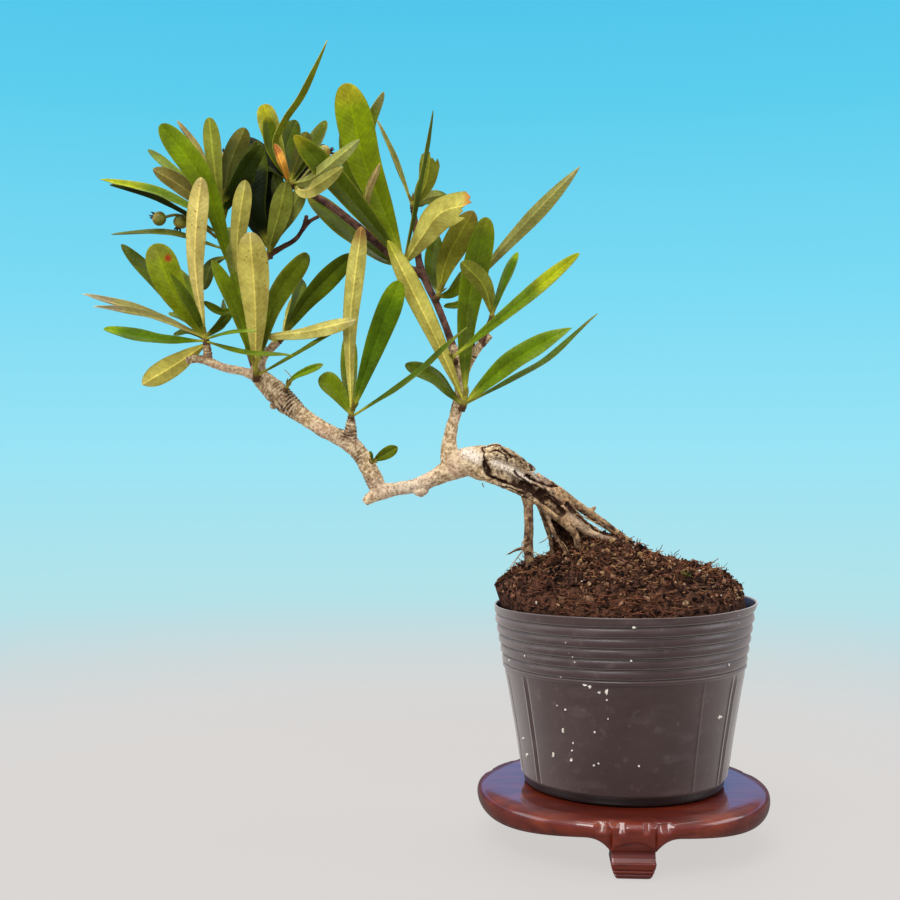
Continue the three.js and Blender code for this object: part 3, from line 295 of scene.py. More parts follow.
bpy.ops.object.transform_apply(rotation=True)
bpy.ops.object.mode_set(mode="EDIT")
bpy.ops.mesh.select_all(action="SELECT")
bpy.ops.mesh.extrude_region_move(TRANSFORM_OT_translate={"value": (0, 3, 0)})
bpy.ops.mesh.select_all(action="SELECT")
bpy.ops.mesh.normals_make_consistent(inside=False)
bpy.ops.object.mode_set(mode="OBJECT")
block = vertices(foot) * MM
column, height = block[:, 0], (block[:, 2] + 1) / 2 * FOOT_TALL
is_back = block[:, 1] > 1.5
on_front = np.clip(np.abs(column) / (1 - SIDE_SHARE), 0, 1)
turning = np.clip((np.abs(column) + SIDE_SHARE - 1) / SIDE_SHARE, 0, 1) * math.pi / 2
half = np.interp(height, *zip(*HALF_WIDTHS)) - CORNER_RADIUS
across = np.sign(column) * (on_front * half + CORNER_RADIUS * np.sin(turning))
front = np.interp(height, *zip(*SHIN)) - CORNER_RADIUS * (1 - np.cos(turning))
front = np.minimum(front, np.sqrt(STAND_RADIUS**2 - across**2) - 0.3)
depth = np.where(is_back, np.interp(height, *zip(*BACK)), front)
set_vertices(foot, np.stack([across, -depth, height], 1))
feet = [foot]
for _ in range(FOOT_COUNT - 1):
    copy = foot.copy()
    copy.data = foot.data.copy()
    bpy.context.collection.objects.link(copy)
    feet.append(copy)
for place, piece in enumerate(feet):
    piece.rotation_euler.z = math.radians(FOOT_TURN + 90) + place * 2 * math.pi / FOOT_COUNT
select(*feet, stand)
bpy.ops.object.transform_apply(rotation=True)
bpy.ops.object.join()
set_vertices(stand, vertices(stand) + STAND_AXIS)


def linear(red, green, blue):
    """A colour as the eye reads it, 0 to 255, as a shader's colour."""
    return (*((value / 255) ** 2.2 for value in (red, green, blue)), 1)


def plug(tree, made, inputs):
    """Gives a node's inputs values, or links them to other nodes' sockets."""
    for key, value in inputs.items():
        if isinstance(value, bpy.types.NodeSocket):
            tree.links.new(value, made.inputs[key])
        else:
            made.inputs[key].default_value = value


def node(tree, kind, inputs, **settings):
    """A shader node with its inputs and settings."""
    made = tree.nodes.new(kind)
    for key, value in settings.items():
        setattr(made, key, value)
    plug(tree, made, inputs)
    return made


def new_material(name):
    """A material, and its tree and shader."""
    material = bpy.data.materials.new(name)
    material.use_nodes = True
    return material, material.node_tree, material.node_tree.nodes["Principled BSDF"]


def soft_step(tree, value, low, high, start=0.0, end=1.0):
    """Goes smoothly from start to end while a value goes from low to high."""
    inputs = {"Value": value, "From Min": low, "From Max": high, "To Min": start, "To Max": end}
    made = node(tree, "ShaderNodeMapRange", inputs, interpolation_type="SMOOTHSTEP")
    return made.outputs["Result"]


def object_place(tree):
    """Where each bit of the piece is, in metres."""
    return node(tree, "ShaderNodeTexCoord", {}).outputs["Object"]


def patches_group():
    """Uneven patches over a surface: a mask that goes from 0 to 1 where a noise rises from Low
    to High. Stretch pulls them out along X, Y or Z."""
    group = bpy.data.node_groups.new("patches", "ShaderNodeTree")
    for name, kind, value in (
        ("Scale", "NodeSocketFloat", 100),
        ("Detail", "NodeSocketFloat", 4),
        ("Low", "NodeSocketFloat", 0.4),
        ("High", "NodeSocketFloat", 0.6),
        ("Stretch", "NodeSocketVector", (1, 1, 1)),
    ):
        socket = group.interface.new_socket(name, in_out="INPUT", socket_type=kind)
        socket.default_value = value
    group.interface.new_socket("Mask", in_out="OUTPUT", socket_type="NodeSocketFloat")
    given = node(group, "NodeGroupInput", {}).outputs
    stretched = {0: object_place(group), 1: given["Stretch"]}
    stretched = node(group, "ShaderNodeVectorMath", stretched, operation="MULTIPLY").outputs[0]
    cloud = {"Vector": stretched, "Scale": given["Scale"], "Detail": given["Detail"]}
    cloud = node(group, "ShaderNodeTexNoise", cloud).outputs["Fac"]
    mask = soft_step(group, cloud, given["Low"], given["High"])
    node(group, "NodeGroupOutput", {"Mask": mask})
    return group


PATCHES = patches_group()


def patches(tree, scale, low, high, detail=4.0, stretch=(1, 1, 1)):
    """The patches group in a material, with its own values."""
    values = {"Scale": scale, "Low": low, "High": high, "Detail": detail, "Stretch": stretch}
    return node(tree, "ShaderNodeGroup", values, node_tree=PATCHES).outputs["Mask"]


def mix(tree, share, first, second, blend="MIX"):
    """Two colours, or a colour and a socket, mixed by a share."""
    colours = {0: share, 6: first, 7: second}
    return node(tree, "ShaderNodeMix", colours, data_type="RGBA", blend_type=blend).outputs[2]


def maths(tree, operation, *values):
    return node(tree, "ShaderNodeMath", dict(enumerate(values)), operation=operation).outputs[0]


def times(tree, mask, most):
    """A mask, weakened to the most that it may do, or two masks in one."""
    return maths(tree, "MULTIPLY", mask, most)


def bump(tree, height, distance):
    relief = {"Height": height, "Distance": distance, "Strength": 1.0}
    return node(tree, "ShaderNodeBump", relief).outputs["Normal"]


lacquer, tree, shader = new_material("red_brown_lacquer")
grain = patches(tree, 200, 0.3, 0.75, 7, (0.14, 1, 1))
pores = patches(tree, 1100, 0.55, 0.72, 3, (0.1, 1, 1))
wood = mix(tree, grain, linear(88, 27, 15), linear(118, 43, 24))
flame = patches(tree, 120, 0.5, 0.75, 4, (0.5, 1, 1))
wood = mix(tree, times(tree, flame, 0.6), wood, linear(148, 66, 36))
lacquer_inputs = {
    "Base Color": mix(tree, times(tree, pores, 0.4), wood, linear(58, 16, 9)),
    "Roughness": maths(tree, "MULTIPLY_ADD", pores, 0.12, 0.34),
    "Normal": bump(tree, pores, -0.00002),
    "Specular IOR Level": 0.45,
    "Coat Weight": 1.0,
    "Coat Roughness": 0.06,
}
plug(tree, shader, lacquer_inputs)
finish_piece(stand, lacquer, "lacquered_wood", "stand")

# Pot. A thin vacuum-formed nursery pot in dark grey-brown plastic: a thin flared lip, six ring
# grooves that stiffen its upper wall, pairs of mould ribs down the lower wall, a recessed floor
# whose drain holes are not drawn, and a soft wall that leans. It is dusty, with white specks of
# grit on it.
POT_BASE = 15.5
POT_HEIGHT = 50.6
RIM_HEIGHT = POT_BASE + POT_HEIGHT
POT_LEAN = 0.02
POT_RIM_RADIUS = 36.5
INNER_RIM_RADIUS = POT_RIM_RADIUS - 1.1
RINGS_TOP = RIM_HEIGHT - 2.5
RING_PITCH = 2.8
RING_COUNT = 5
RINGS_FOOT = RINGS_TOP - RING_COUNT * RING_PITCH
WALL_FOOT, WALL_FOOT_RADIUS, WALL_FLARE = 3.4, 28.86, 4.9
RING_RADIUS, RINGS_FLARE = 34.3, 1.9
LAST_RING_TALL = 1.5
# One ring: heights above its foot, and how far it is set in there
RING_SECTION = [
    (-0.12, 0.5), (0.02, 0.72), (0.16, 0.68), (0.3, 0.3), (0.48, 0.06), (0.9, -0.04),
    (1.4, -0.05), (1.9, 0.04), (2.3, 0.2), (2.52, 0.34),
]
# How much the wall gives: in three waves and in seven, all round, at its lip, and the lip's dents
SLACK, FINE_SLACK, DRAWN_IN, LIP_SPREAD, LIP_DENT = 0.14, 0.06, 0.1, 1.0, 0.18
POT_AXIS = LAYOUT + (POT_X, 0, 0)
POT_SIDES = 400


def lean(places):
    """The soft wall leans: its rim stands higher on the +X side."""
    share = np.clip((places[..., 2] - POT_BASE) / POT_HEIGHT, 0, 2)
    places[..., 2] += POT_LEAN * places[..., 0] * share
    return places


def rising(height, *points):
    """Radii, each with its rise above a height, as points of the pot's section."""
    return [(radius, height + rise) for radius, rise in points]


# The section, up the outside: the base's edge and its step, the wall, the bead below the rings,
# the rings, the lip, and then down the inside
pot_section = rising(
    POT_BASE,
    *((23.4, 1.1), (24.4, 0.9), (24.7, 0), (26.6, 0), (27.5, 0.15), (27.95, 0.6), (28.05, 1.4)),
    *((28.15, 2.4), (28.3, 2.75), (28.72, 2.95), (28.85, 3.15), (WALL_FOOT_RADIUS, WALL_FOOT)),
)
wall_height = RINGS_FOOT - 1.3 - POT_BASE - WALL_FOOT
for share in np.linspace(0.06, 1, 15):
    rise = POT_BASE + WALL_FOOT + share * wall_height
    pot_section.append((WALL_FOOT_RADIUS + share * WALL_FLARE, rise))
pot_section += rising(RINGS_FOOT, (33.85, -1.15), (34.12, -0.95), (34.2, -0.6), (34.12, -0.3))
for ring in range(RING_COUNT + 1):
    widening = RINGS_FLARE * min(ring, RING_COUNT - 0.6) / (RING_COUNT - 1)
    for rise, inset in RING_SECTION:
        if ring < RING_COUNT or rise < LAST_RING_TALL:
            height = RINGS_FOOT + ring * RING_PITCH + rise
            pot_section.append((RING_RADIUS + widening - inset, height))
lip_start = len(pot_section)
pot_section += rising(
    RIM_HEIGHT, (36.4, -0.8), (POT_RIM_RADIUS, -0.35), (36.46, -0.1), (36.3, 0), (36.05, -0.05),
    (35.8, -0.5),
)
lip_end = len(pot_section)
pot_section += rising(RINGS_FOOT, (35.1, RINGS_TOP - RINGS_FOOT - 0.4), (32.9, 0))
pot_section += rising(POT_BASE, (27.4, WALL_FOOT), (26.2, 2.1), (2, 2.1))
pot = turned("pot_wall", pot_section, POT_SIDES)
wall = vertices(pot).reshape(len(pot_section), POT_SIDES, 3)
# Mould ribs: the angle round the pot, from the front, and the height of each. The sides of the
# wall are gathered where the ribs are.
RIBS = [
    (-80.0, 0.16), (-60.5, 0.2), (-58.3, -0.2), (31.0, 0.1), (51.8, 0.22), (54.6, -0.16),
    (57.0, 0.18), (78.0, 0.16), (110.0, 0.2), (150.0, 0.2), (-110.0, 0.2), (-150.0, 0.2),
]
RIB_REACH = 0.4
MEAN_RADIUS = 31
rib_angles = [math.radians(angle - 90) for angle, _ in RIBS]
round_the_pot = gather_sides(wall, rib_angles, closer=8, reach=0.03)
height = wall[..., 2].copy()
# The wall is slack between its stiff edge and its rings, and its lip has spread on the right.
slack = SLACK * np.sin(3 * round_the_pot + 0.6) + FINE_SLACK * np.sin(7 * round_the_pot)
slack -= DRAWN_IN
slack *= smoothstep(POT_BASE + 5, POT_BASE + 14, height)
slack *= smoothstep(RINGS_FOOT, RINGS_FOOT - 8, height)
spread = LIP_SPREAD * np.exp(-(((round_the_pot - 0.15) / 0.6) ** 2))
spread += 0.05 * np.sin(5 * round_the_pot)
slack += spread * smoothstep(RINGS_TOP, RIM_HEIGHT, height) * (height > RINGS_TOP)
ribbed = smoothstep(POT_BASE + 2.9, POT_BASE + 3.3, height)
ribbed *= smoothstep(RINGS_FOOT - 1.2, RINGS_FOOT - 1.7, height)
ribbed[lip_end:] = 0
for angle, (_, proud) in zip(rib_angles, RIBS):
    off = (round_the_pot - angle + math.pi) % (2 * math.pi) - math.pi
    slack += proud * np.exp(-((off * MEAN_RADIUS / RIB_REACH) ** 2)) * ribbed
wall[..., :2] *= (1 + slack / np.maximum(np.hypot(wall[..., 0], wall[..., 1]), 20))[..., None]
# Two places where the lip has bent up and down
dents = np.exp(-(((round_the_pot + 2.2) / 0.5) ** 2))
dents -= np.exp(-(((round_the_pot + 1.25) / 0.4) ** 2))
wall[lip_start:lip_end, :, 2] += LIP_DENT * dents[lip_start:lip_end]
wall = lean(wall)
set_vertices(pot, wall.reshape(-1, 3) + POT_AXIS)


def point_colours(piece, name, colours):
    """A colour for each vertex, which the piece's material reads by its name."""
    made = piece.data.color_attributes.new(name, "FLOAT_COLOR", "POINT")
    full = np.ones((len(piece.data.vertices), 4))
    full[:, : colours.shape[1]] = colours
    made.data.foreach_set("color", full.ravel())


def attribute(tree, name):
    """What the shader reads from a piece's vertices."""
    return node(tree, "ShaderNodeAttribute", {}, attribute_name=name).outputs


# Painted shade: the wall inside the lip, above the soil, is marked here and painted dark and
# slightly blue.
inside = np.zeros((len(pot_section), POT_SIDES, 3))
inside[lip_end - 1 :] = 1
point_colours(pot, "inside", inside.reshape(-1, 3))

plastic, tree, shader = new_material("dark_pot_plastic")
cloudy = patches(tree, 45, 0.35, 0.7, 3)
dust = patches(tree, 420, 0.56, 0.78, 5)
film = patches(tree, 90, 0.5, 0.75, 6, (1, 1, 3))
skin = mix(tree, cloudy, linear(70, 54, 53), linear(80, 63, 62))
skin = mix(tree, times(tree, dust, 0.14), skin, linear(150, 138, 130))
skin = mix(tree, times(tree, film, 0.12), skin, linear(124, 110, 106))
# Painted sheen: the wall is painted pale where it turns away from the camera, at its left and
# right edges.
edge = node(tree, "ShaderNodeLayerWeight", {"Blend": 0.32}).outputs["Facing"]
skin = mix(tree, maths(tree, "POWER", edge, 2.2), skin, linear(252, 246, 242))
# Just above the stand the pot's foot is painted dark: painted shade, and a painted reflection of
# the dark stand.
rise = node(tree, "ShaderNodeSeparateXYZ", {0: object_place(tree)}).outputs["Z"]
painted_foot_shade = soft_step(tree, rise, 0.0172, 0.0189, 0.9, 0.0)
skin = mix(tree, painted_foot_shade, skin, linear(30, 22, 22))
plastic_inputs = {
    # The marked inner wall gets its painted shade colour here.
    "Base Color": mix(tree, attribute(tree, "inside")["Color"], skin, linear(30, 28, 36)),
    "Roughness": maths(tree, "MULTIPLY_ADD", film, 0.16, 0.36),
    "Normal": bump(tree, patches(tree, 500, 0.3, 0.7, 4), 0.00002),
}
plug(tree, shader, plastic_inputs)
finish_piece(pot, plastic, "pot_plastic", "pot")

# White grit that splashed on the pot: irregular crumbs of pumice, fixed by dried water.
SPECKS = [
    # [seen x, seen z, length, height]
    [-9.6, 42.4, 1.5, 0.6], [-8.3, 41.9, 0.9, 0.8], [-5.6, 40.3, 0.9, 0.6],
    [-3.6, 40.4, 0.6, 1.5], [-3.5, 38.1, 0.4, 0.4], [4.2, 58.6, 1.0, 0.6],
    [6.0, 57.0, 0.5, 0.5], [-15.0, 54.5, 0.6, 0.6], [-14.2, 51.5, 0.5, 0.6],
    [-13.2, 50.4, 0.6, 0.4], [-12.6, 48.8, 0.4, 0.4], [17.3, 54.2, 0.7, 0.6],
    [24.6, 61.6, 0.5, 0.4], [33.7, 62.2, 0.5, 0.9], [33.9, 59.9, 0.4, 0.5],
    [31.0, 48.2, 0.5, 0.6], [28.5, 33.3, 1.2, 0.7], [-16.0, 29.6, 0.6, 1.1],
    [-7.0, 29.0, 0.6, 0.5], [-27.2, 27.3, 0.5, 0.5], [-26.2, 22.6, 0.6, 0.9],
    [-18.7, 22.7, 0.6, 1.2], [-13.1, 25.9, 0.4, 0.5], [-13.4, 23.8, 0.4, 0.4],
    [-13.6, 21.2, 0.7, 0.7], [-7.2, 19.6, 0.6, 0.5], [-5.9, 20.1, 0.4, 0.5],
    [5.5, 19.4, 0.6, 0.5], [-17.6, 36.6, 0.4, 0.4], [-15.3, 35.4, 0.5, 0.4],
    [-16.6, 44.7, 0.5, 0.4], [-26.8, 50.6, 0.5, 0.4], [-31.2, 49.4, 0.5, 0.5],
    [-3.2, 32.8, 0.4, 0.5], [3.3, 49.2, 0.5, 0.4],
]
SPECK_PROUD = 0.1
SPECK_THICK = 0.5


def tube(path, radii, sides=6):
    """A round closed tube through points in mm, as its vertices and faces."""
    path, radii = np.asarray(path, float), np.asarray(radii, float)
    along = np.gradient(path, axis=0)
    along /= np.linalg.norm(along, axis=1)[:, None]
    side = np.cross(along[0], (0.3, 1, 0.2))
    rings = []
    for centre, direction, radius in zip(path, along, radii):
        side = side - side.dot(direction) * direction
        side /= np.linalg.norm(side)
        up = np.cross(direction, side)
        turn = np.arange(sides) * 2 * math.pi / sides
        rings.append(centre + radius * (np.cos(turn)[:, None] * side + np.sin(turn)[:, None] * up))
    count = len(path)
    faces = []
    for ring in range(count - 1):
        for here in range(sides):
            after = (here + 1) % sides
            low, high = ring * sides, (ring + 1) * sides
            faces.append((low + here, low + after, high + after, high + here))
    faces.append(tuple(range(sides))[::-1])
    faces.append(tuple(range((count - 1) * sides, count * sides)))
    return np.concatenate(rings), faces


def gathered(name, shapes):
    """One piece from many shapes, each as its vertices in mm and its faces. Gives the piece and
    each shape's share of the vertices."""
    places, faces, counts = [], [], []
    start = 0
    for shape_places, shape_faces in shapes:
        places.append(shape_places)
        faces += [tuple(start + corner for corner in face) for face in shape_faces]
        counts.append(len(shape_places))
        start += len(shape_places)
    mesh = bpy.data.meshes.new(name)
    mesh.from_pydata((np.concatenate(places) * MM).tolist(), [], faces)
    piece = bpy.data.objects.new(name, mesh)
    bpy.context.collection.objects.link(piece)
    return piece, counts


def on_wall(x, z):
    """The place just off the pot's lower wall or rings that is seen at x and z."""
    target = seen(x, z, 0)
    ray = (target - EYE) / np.linalg.norm(target - EYE)
    for distance in np.arange(290, 380, 0.1):
        place = EYE + ray * distance
        height = place[2] - POT_LEAN * (place[0] - POT_AXIS[0])
        heights = [POT_BASE + WALL_FOOT, RINGS_FOOT, RINGS_TOP]
        radius = np.interp(height, heights, [WALL_FOOT_RADIUS, 33.9, 36.1])
        if np.hypot(*(place - POT_AXIS)[:2]) < radius + SPECK_PROUD:
            break
    return place


def as_form(primitive):
    """The vertices and faces of a primitive, which is taken away: a form to make shapes of."""
    places = vertices(primitive) * MM
    faces = [tuple(face.vertices) for face in primitive.data.polygons]
    bpy.data.objects.remove(primitive)
    return places, faces


def roughened(places, spread):
    """A form with each vertex moved in or out by chance."""
    return places * (1 + spread * chance.standard_normal(len(places)))[:, None]


chance = np.random.default_rng(11)
select()
bpy.ops.mesh.primitive_ico_sphere_add(subdivisions=2, radius=0.5)
crumb_places, crumb_faces = as_form(bpy.context.object)
shapes = []
for x, z, length, rise in SPECKS:
    middle = on_wall(x, z)
    crumb = roughened(crumb_places, 0.35) * (length, SPECK_THICK, rise)
    shapes.append((crumb + middle, crumb_faces))
grit, _ = gathered("pot_grit", shapes)
pumice, tree, shader = new_material("white_pumice")
chalk = mix(tree, patches(tree, 900, 0.4, 0.6), linear(214, 204, 190), linear(240, 236, 228))
plug(tree, shader, {"Base Color": chalk, "Roughness": 0.9})
finish_piece(grit, pumice, "pot_plastic", smooth=False)

# Wood. The trunk, its branches and spurs, and the roots that stand clear of the soil, grown as
# one. Its bark is tan with pale patches, ringed and brown at the knots, purple-brown on the young
# shoots, and deeply furrowed where the old trunk splits into its roots.
# Each limb is a list of places [x, z, depth, width].
TRUNK = [
    [-47, 104.2, 0, 7.4], [-43, 105.6, 0, 8.6], [-38.5, 105.3, 0, 11], [-34, 103.8, 0, 11],
    [-30, 101.5, 0, 9.6], [-26, 99.6, 0, 8.6], [-22, 97.6, 0, 7.4], [-18, 94.8, 0, 6.2],
    [-14, 91.5, 0, 4.4],
]
LINE_TO_LEFT = [
    [-44.5, 104.8, 0, 7.4], [-49, 102.8, 0, 6], [-53, 100.9, -0.5, 4.7], [-58, 98.9, -1, 4.2],
    [-63, 98, -1.5, 4], [-67, 97.1, -2, 4.6], [-70.5, 95.4, -2, 3.6], [-72.2, 94, -2, 2.4],
]
LEFT_BRANCH = [
    [-68, 97, -2, 4.6], [-69.4, 100.5, -2, 5.2], [-71.7, 105, -2, 5], [-74.3, 108.8, -1.5, 4.9],
    [-77.5, 111.5, -1, 5], [-81.5, 113.6, 0, 4.5], [-86, 116.2, 1, 4.6], [-90.5, 119.2, 2, 4.7],
    [-94.5, 122.6, 3, 6.2], [-98, 126, 4, 6.4], [-101.5, 129.3, 5, 5.2], [-103.8, 131, 5.5, 3.8],
]
LEFT_TWIG = [
    [-101.5, 129.5, 5, 3.6], [-107, 131.3, 5, 2.6], [-112, 132.3, 4.5, 2.5],
    [-116, 133.9, 4, 2.7], [-119.5, 134.8, 3.6, 2.4], [-122.6, 134.4, 3.4, 2.2],
]
RISING_BRANCH = [
    [-101.8, 129.5, 6, 3.8], [-105, 140, 9, 3.2], [-106, 150, 11, 2.8], [-104, 158, 12, 2.6],
    [-99.5, 164, 13, 2.2], [-95.5, 166.5, 13, 1.7], [-92, 168.6, 13, 1.5],
    [-89.7, 171.8, 13, 1.4], [-88.6, 175.6, 13, 1.3],
]
RIGHT_BRANCH = [
    [-47.5, 104.5, 0, 6.4], [-48.2, 109, 0.5, 4.8], [-47.8, 114, 1, 3.7], [-46.5, 119, 1.5, 3.3],
    [-45.4, 123.5, 2, 3.2], [-45.3, 128, 3, 3], [-46, 133, 4, 2.8], [-47, 138, 5, 2.6],
]
PURPLE_SHOOT = [
    [-46.6, 136.5, 5, 2.5], [-49.2, 144, 6, 2.2], [-51.8, 150.5, 7, 2.2], [-54.5, 156, 8, 2.3],
    [-56.5, 161, 8.5, 2.2], [-57.3, 167, 9, 2.1], [-57.8, 173, 9.5, 1.9], [-58.5, 177.5, 10, 1.7],
]
ARCHED_BRANCH = [
    [-55.5, 158.5, 8, 2.6], [-60, 160.6, 8, 2.6], [-64, 163.6, 8, 2.6], [-69, 168, 8, 2.6],
    [-75, 173, 9, 2.5], [-81, 177.6, 10, 2.3], [-87, 181.3, 11, 2.1], [-92, 183.6, 12, 2],
]
RIGHT_FORK = [
    [-45.3, 127.5, 3, 2.8], [-43.3, 132, 4.4, 2.5], [-41.3, 136, 5, 2.5], [-39, 139.3, 4, 2.6],
    [-36.9, 141.7, 3, 2.8],
]
SPURS = [
    [[-76.6, 110.8, -1.5, 4.2], [-76.2, 114.5, -2.5, 3.1], [-76, 118, -3.5, 2.2]],
    [[-116.6, 134, 4, 2.4], [-116.7, 137, 3.6, 2.4], [-117.1, 139.6, 3, 2]],
    [[-101.5, 130, 6, 2.6], [-101, 135, 7, 2.4], [-99, 137.6, 7.5, 2.2], [-96.8, 139.7, 8, 2.2]],
    [[-89.9, 171.3, 13, 1.4], [-87.5, 174, 12.5, 1.3], [-85, 175.3, 12, 1.2]],
    [[-38.9, 139.2, 4, 2], [-37.8, 143, 2, 1.7], [-36.3, 146, 0.3, 1.6]],
    [[-41.5, 135.5, 5, 2], [-42, 145, 9, 1.8], [-40.5, 155, 12, 1.6]],
    [[-54.5, 97.8, -1, 1.6], [-56.5, 96.9, -2, 2.6], [-58, 97.2, -2, 1.6]],
    [[-96.5, 122.5, 2.6, 2.6], [-98.8, 121, 2, 1.4]],
]
ROOTS = [
    [
        [-26.5, 97.5, -2, 3.6], [-25.8, 92.5, -3, 2.8], [-25.6, 87, -3.5, 2.7],
        [-25.9, 82.5, -4, 2.9], [-25.6, 78.5, -4, 3], [-25, 72, -4, 2],
    ],
    [
        [-23, 95.5, 0, 2.6], [-21.7, 91, 1, 1.9], [-20.6, 87.5, 2, 1.7], [-19.5, 83.5, 2.5, 1.5],
        [-18.5, 75, 3, 1.2],
    ],
    [
        [-21.5, 93, -2, 2], [-19.4, 87.5, -4, 1.3], [-17.8, 84, -5, 1.3], [-15.8, 81.3, -6, 1.2],
        [-14.5, 74, -6, 1.1],
    ],
    [
        [-26.5, 98, -2, 3.4], [-22.5, 94.3, -3.5, 3], [-18.5, 90.8, -4.5, 2.8],
        [-14.8, 87.8, -5, 2.6], [-12.5, 85, -5.5, 2.2], [-11, 76, -6, 1.6],
    ],
    [
        [-21, 97.5, -2, 3.4], [-16.5, 93, -3, 3], [-12.5, 88.5, -3.5, 2.8], [-9, 85.8, -3.5, 2.6],
        [-5, 84.1, -3.5, 2.2], [-1, 83, -3, 2.1], [2.5, 81.3, -2.5, 2], [5, 74, -2, 1.5],
    ],
    [
        [-24, 101, 0, 4], [-18.5, 98, 0.5, 3.2], [-13.5, 94.5, 1, 2.8], [-9.5, 91.6, 1, 2.6],
        [-6, 89.3, 1, 2.5], [-2.5, 86.8, 1, 2.3], [1, 84.2, 1, 2.3], [4, 81.5, 1, 2.1],
        [6, 74, 1, 1.5],
    ],
    [[-15.5, 95, -1.5, 2], [-12, 91, -2, 1.4], [-9.3, 88, -2.4, 1.3], [-7.8, 85.6, -3, 1.3]],
    [
        [-22, 97, 3, 3.4], [-16, 92.5, 5, 2.8], [-10, 88, 6.5, 2.5], [-5, 84.5, 7.5, 2.2],
        [-1, 75, 8, 1.6],
    ],
    [[-20, 95.5, 0, 5], [-15, 91, 0.5, 4], [-11, 86, 1, 3.2], [-9, 75, 1, 2.2]],
]
ROOT_NUBS = [
    [[-9, 91, 1, 2], [-6.7, 92.9, 1, 0.9]],
    [[-26.2, 81.3, -4, 1.2], [-29, 80.8, -5, 0.9], [-31.6, 79.4, -6, 0.8]],
]
# Strands of old wood that stand out along the furrowed end of the trunk
STRANDS = [
    [
        [-38, 108, -2.5, 4.6], [-33, 107.6, -3.4, 4.6], [-28.5, 105.2, -3.6, 4.2],
        [-24.5, 102.4, -3, 3.4],
    ],
    [[-39, 102.4, -2.6, 4], [-34, 100.4, -3.6, 3.6], [-29, 98.2, -3.8, 3.6], [-24, 95.8, -3.6, 3]],
    [[-33, 104.2, -4, 2], [-29, 101.8, -4.4, 1.7], [-25, 99.6, -4, 1.8], [-20, 96.8, -3.4, 1.8]],
    [[-36, 105.2, 3, 4], [-30, 103, 3.6, 4], [-24, 99.6, 3.4, 3.6], [-18, 95.6, 3, 3]],
    [
        [-37.4, 109.9, -1.4, 1.2], [-34.6, 110.2, -1.8, 1.4], [-32.2, 108.6, -2.4, 1.2],
        [-31.4, 106.6, -3.4, 1],
    ],
]
LIMBS = {
    "old": [TRUNK, *STRANDS],
    "young": [RISING_BRANCH, PURPLE_SHOOT, ARCHED_BRANCH, *SPURS[3:6]],
    "mature": [
        LINE_TO_LEFT, LEFT_BRANCH, LEFT_TWIG, RIGHT_BRANCH, RIGHT_FORK, *SPURS[:3], *SPURS[6:],
    ],
    "root": [*ROOTS, *ROOT_NUBS],
}
LIMB_SIDES = 18
WOOD_VOXEL = 0.34
KNOT_RINGS_APART, KNOT_RING_DEPTH, KNOT_STREAKS_APART = 1.1, 0.16, 0.9
FURROW_DEPTH, RING_CRACK_DEPTH = 0.6, 0.1
# Young bark is smoother: its share of the relief and of the cracks
YOUNG_RELIEF, YOUNG_CRACKS = 0.35, 0.4


def limb_path(places, steps=8):
    """A limb's centre line and radii."""
    path = smooth_path([seen(*place[:3]) for place in places], steps)
    widths = [place[3] for place in places]
    return path, np.interp(np.arange(len(path)) / steps, np.arange(len(widths)), widths) / 2


def unit(vectors):
    return vectors / np.linalg.norm(vectors, axis=1)[:, None]


shapes, centre_lines = [], []
for kind, limbs in LIMBS.items():
    for places in limbs:
        path, radii = limb_path(places)
        if places is TRUNK:
            radii = radii * (1 - 0.16 * smoothstep(-41, -33, path[:, 0] - LAYOUT[0]))
        shapes.append(tube(path, radii * 0.97, LIMB_SIDES))
        centre_lines.append((path, radii, unit(np.gradient(path, axis=0)), [kind] * len(path)))
wood, _ = gathered("wood", shapes)
select(wood)
bpy.ops.object.modifier_add(type="REMESH")
wood.modifiers["Remesh"].mode = "VOXEL"
wood.modifiers["Remesh"].voxel_size = WOOD_VOXEL * MM
bpy.ops.object.modifier_apply(modifier="Remesh")
bpy.ops.object.modifier_add(type="SMOOTH")
wood.modifiers["Smooth"].iterations = 3
bpy.ops.object.modifier_apply(modifier="Smooth")

# Where each bit of the surface is on its limb: the bark's relief and its colour follow that.
line_points, line_radii, line_along, line_kind = map(np.concatenate, zip(*centre_lines))
tree_of_lines = KDTree(len(line_points))
for index, point in enumerate(line_points):
    tree_of_lines.insert(Vector(point), index)
tree_of_lines.balance()

# Knots: places with rings of wrinkled dark bark: [x, z, depth, reach, swell, darkness]
KNOTS = [
    [-94.7, 123.4, 2, 6.2, 0.45, 1.15], [-101.5, 129.5, 4, 3.2, 0.2, 0.6],
    [-76.3, 114.2, -2, 4.2, 0.3, 1.3], [-73.8, 108.6, -3, 2.6, 0.15, 0.9],
    [-74.6, 106, -3.4, 1.8, -0.2, 1.0], [-85.3, 112.6, 0, 1.7, 0.35, 0.5],
    [-71, 100, -2, 3.4, 0.1, 0.75], [-47.8, 107, 0, 3.4, 0.35, 0.35],
    [-46, 121, 0.5, 2.6, 0.25, 0.5], [-45.2, 128, 3, 2.4, 0.15, 0.4],
    [-47, 137, 5, 2.4, 0.2, 0.5], [-116.7, 136.5, 4, 2.8, 0.15, 0.9],
    [-122, 134.6, 3, 2, 0.1, 0.8], [-98.6, 137.6, 7.5, 2.4, 0.2, 0.8],
    [-55.5, 97.2, -2, 2.4, 0.15, 0.4], [-55.5, 160.5, 8, 2.2, 0.15, 0.4],
    [-38, 140, 4, 2.2, 0.15, 0.5], [-57.5, 169, 9, 1.6, 0.12, 0.5],
    [-33, 108.6, -3, 3, 0.15, 0.5],
]


def travelled(path):
    """How far along a path each of its points is."""
    steps = np.linalg.norm(np.diff(path, axis=0), axis=1)
    return np.concatenate([[0], np.cumsum(steps)])


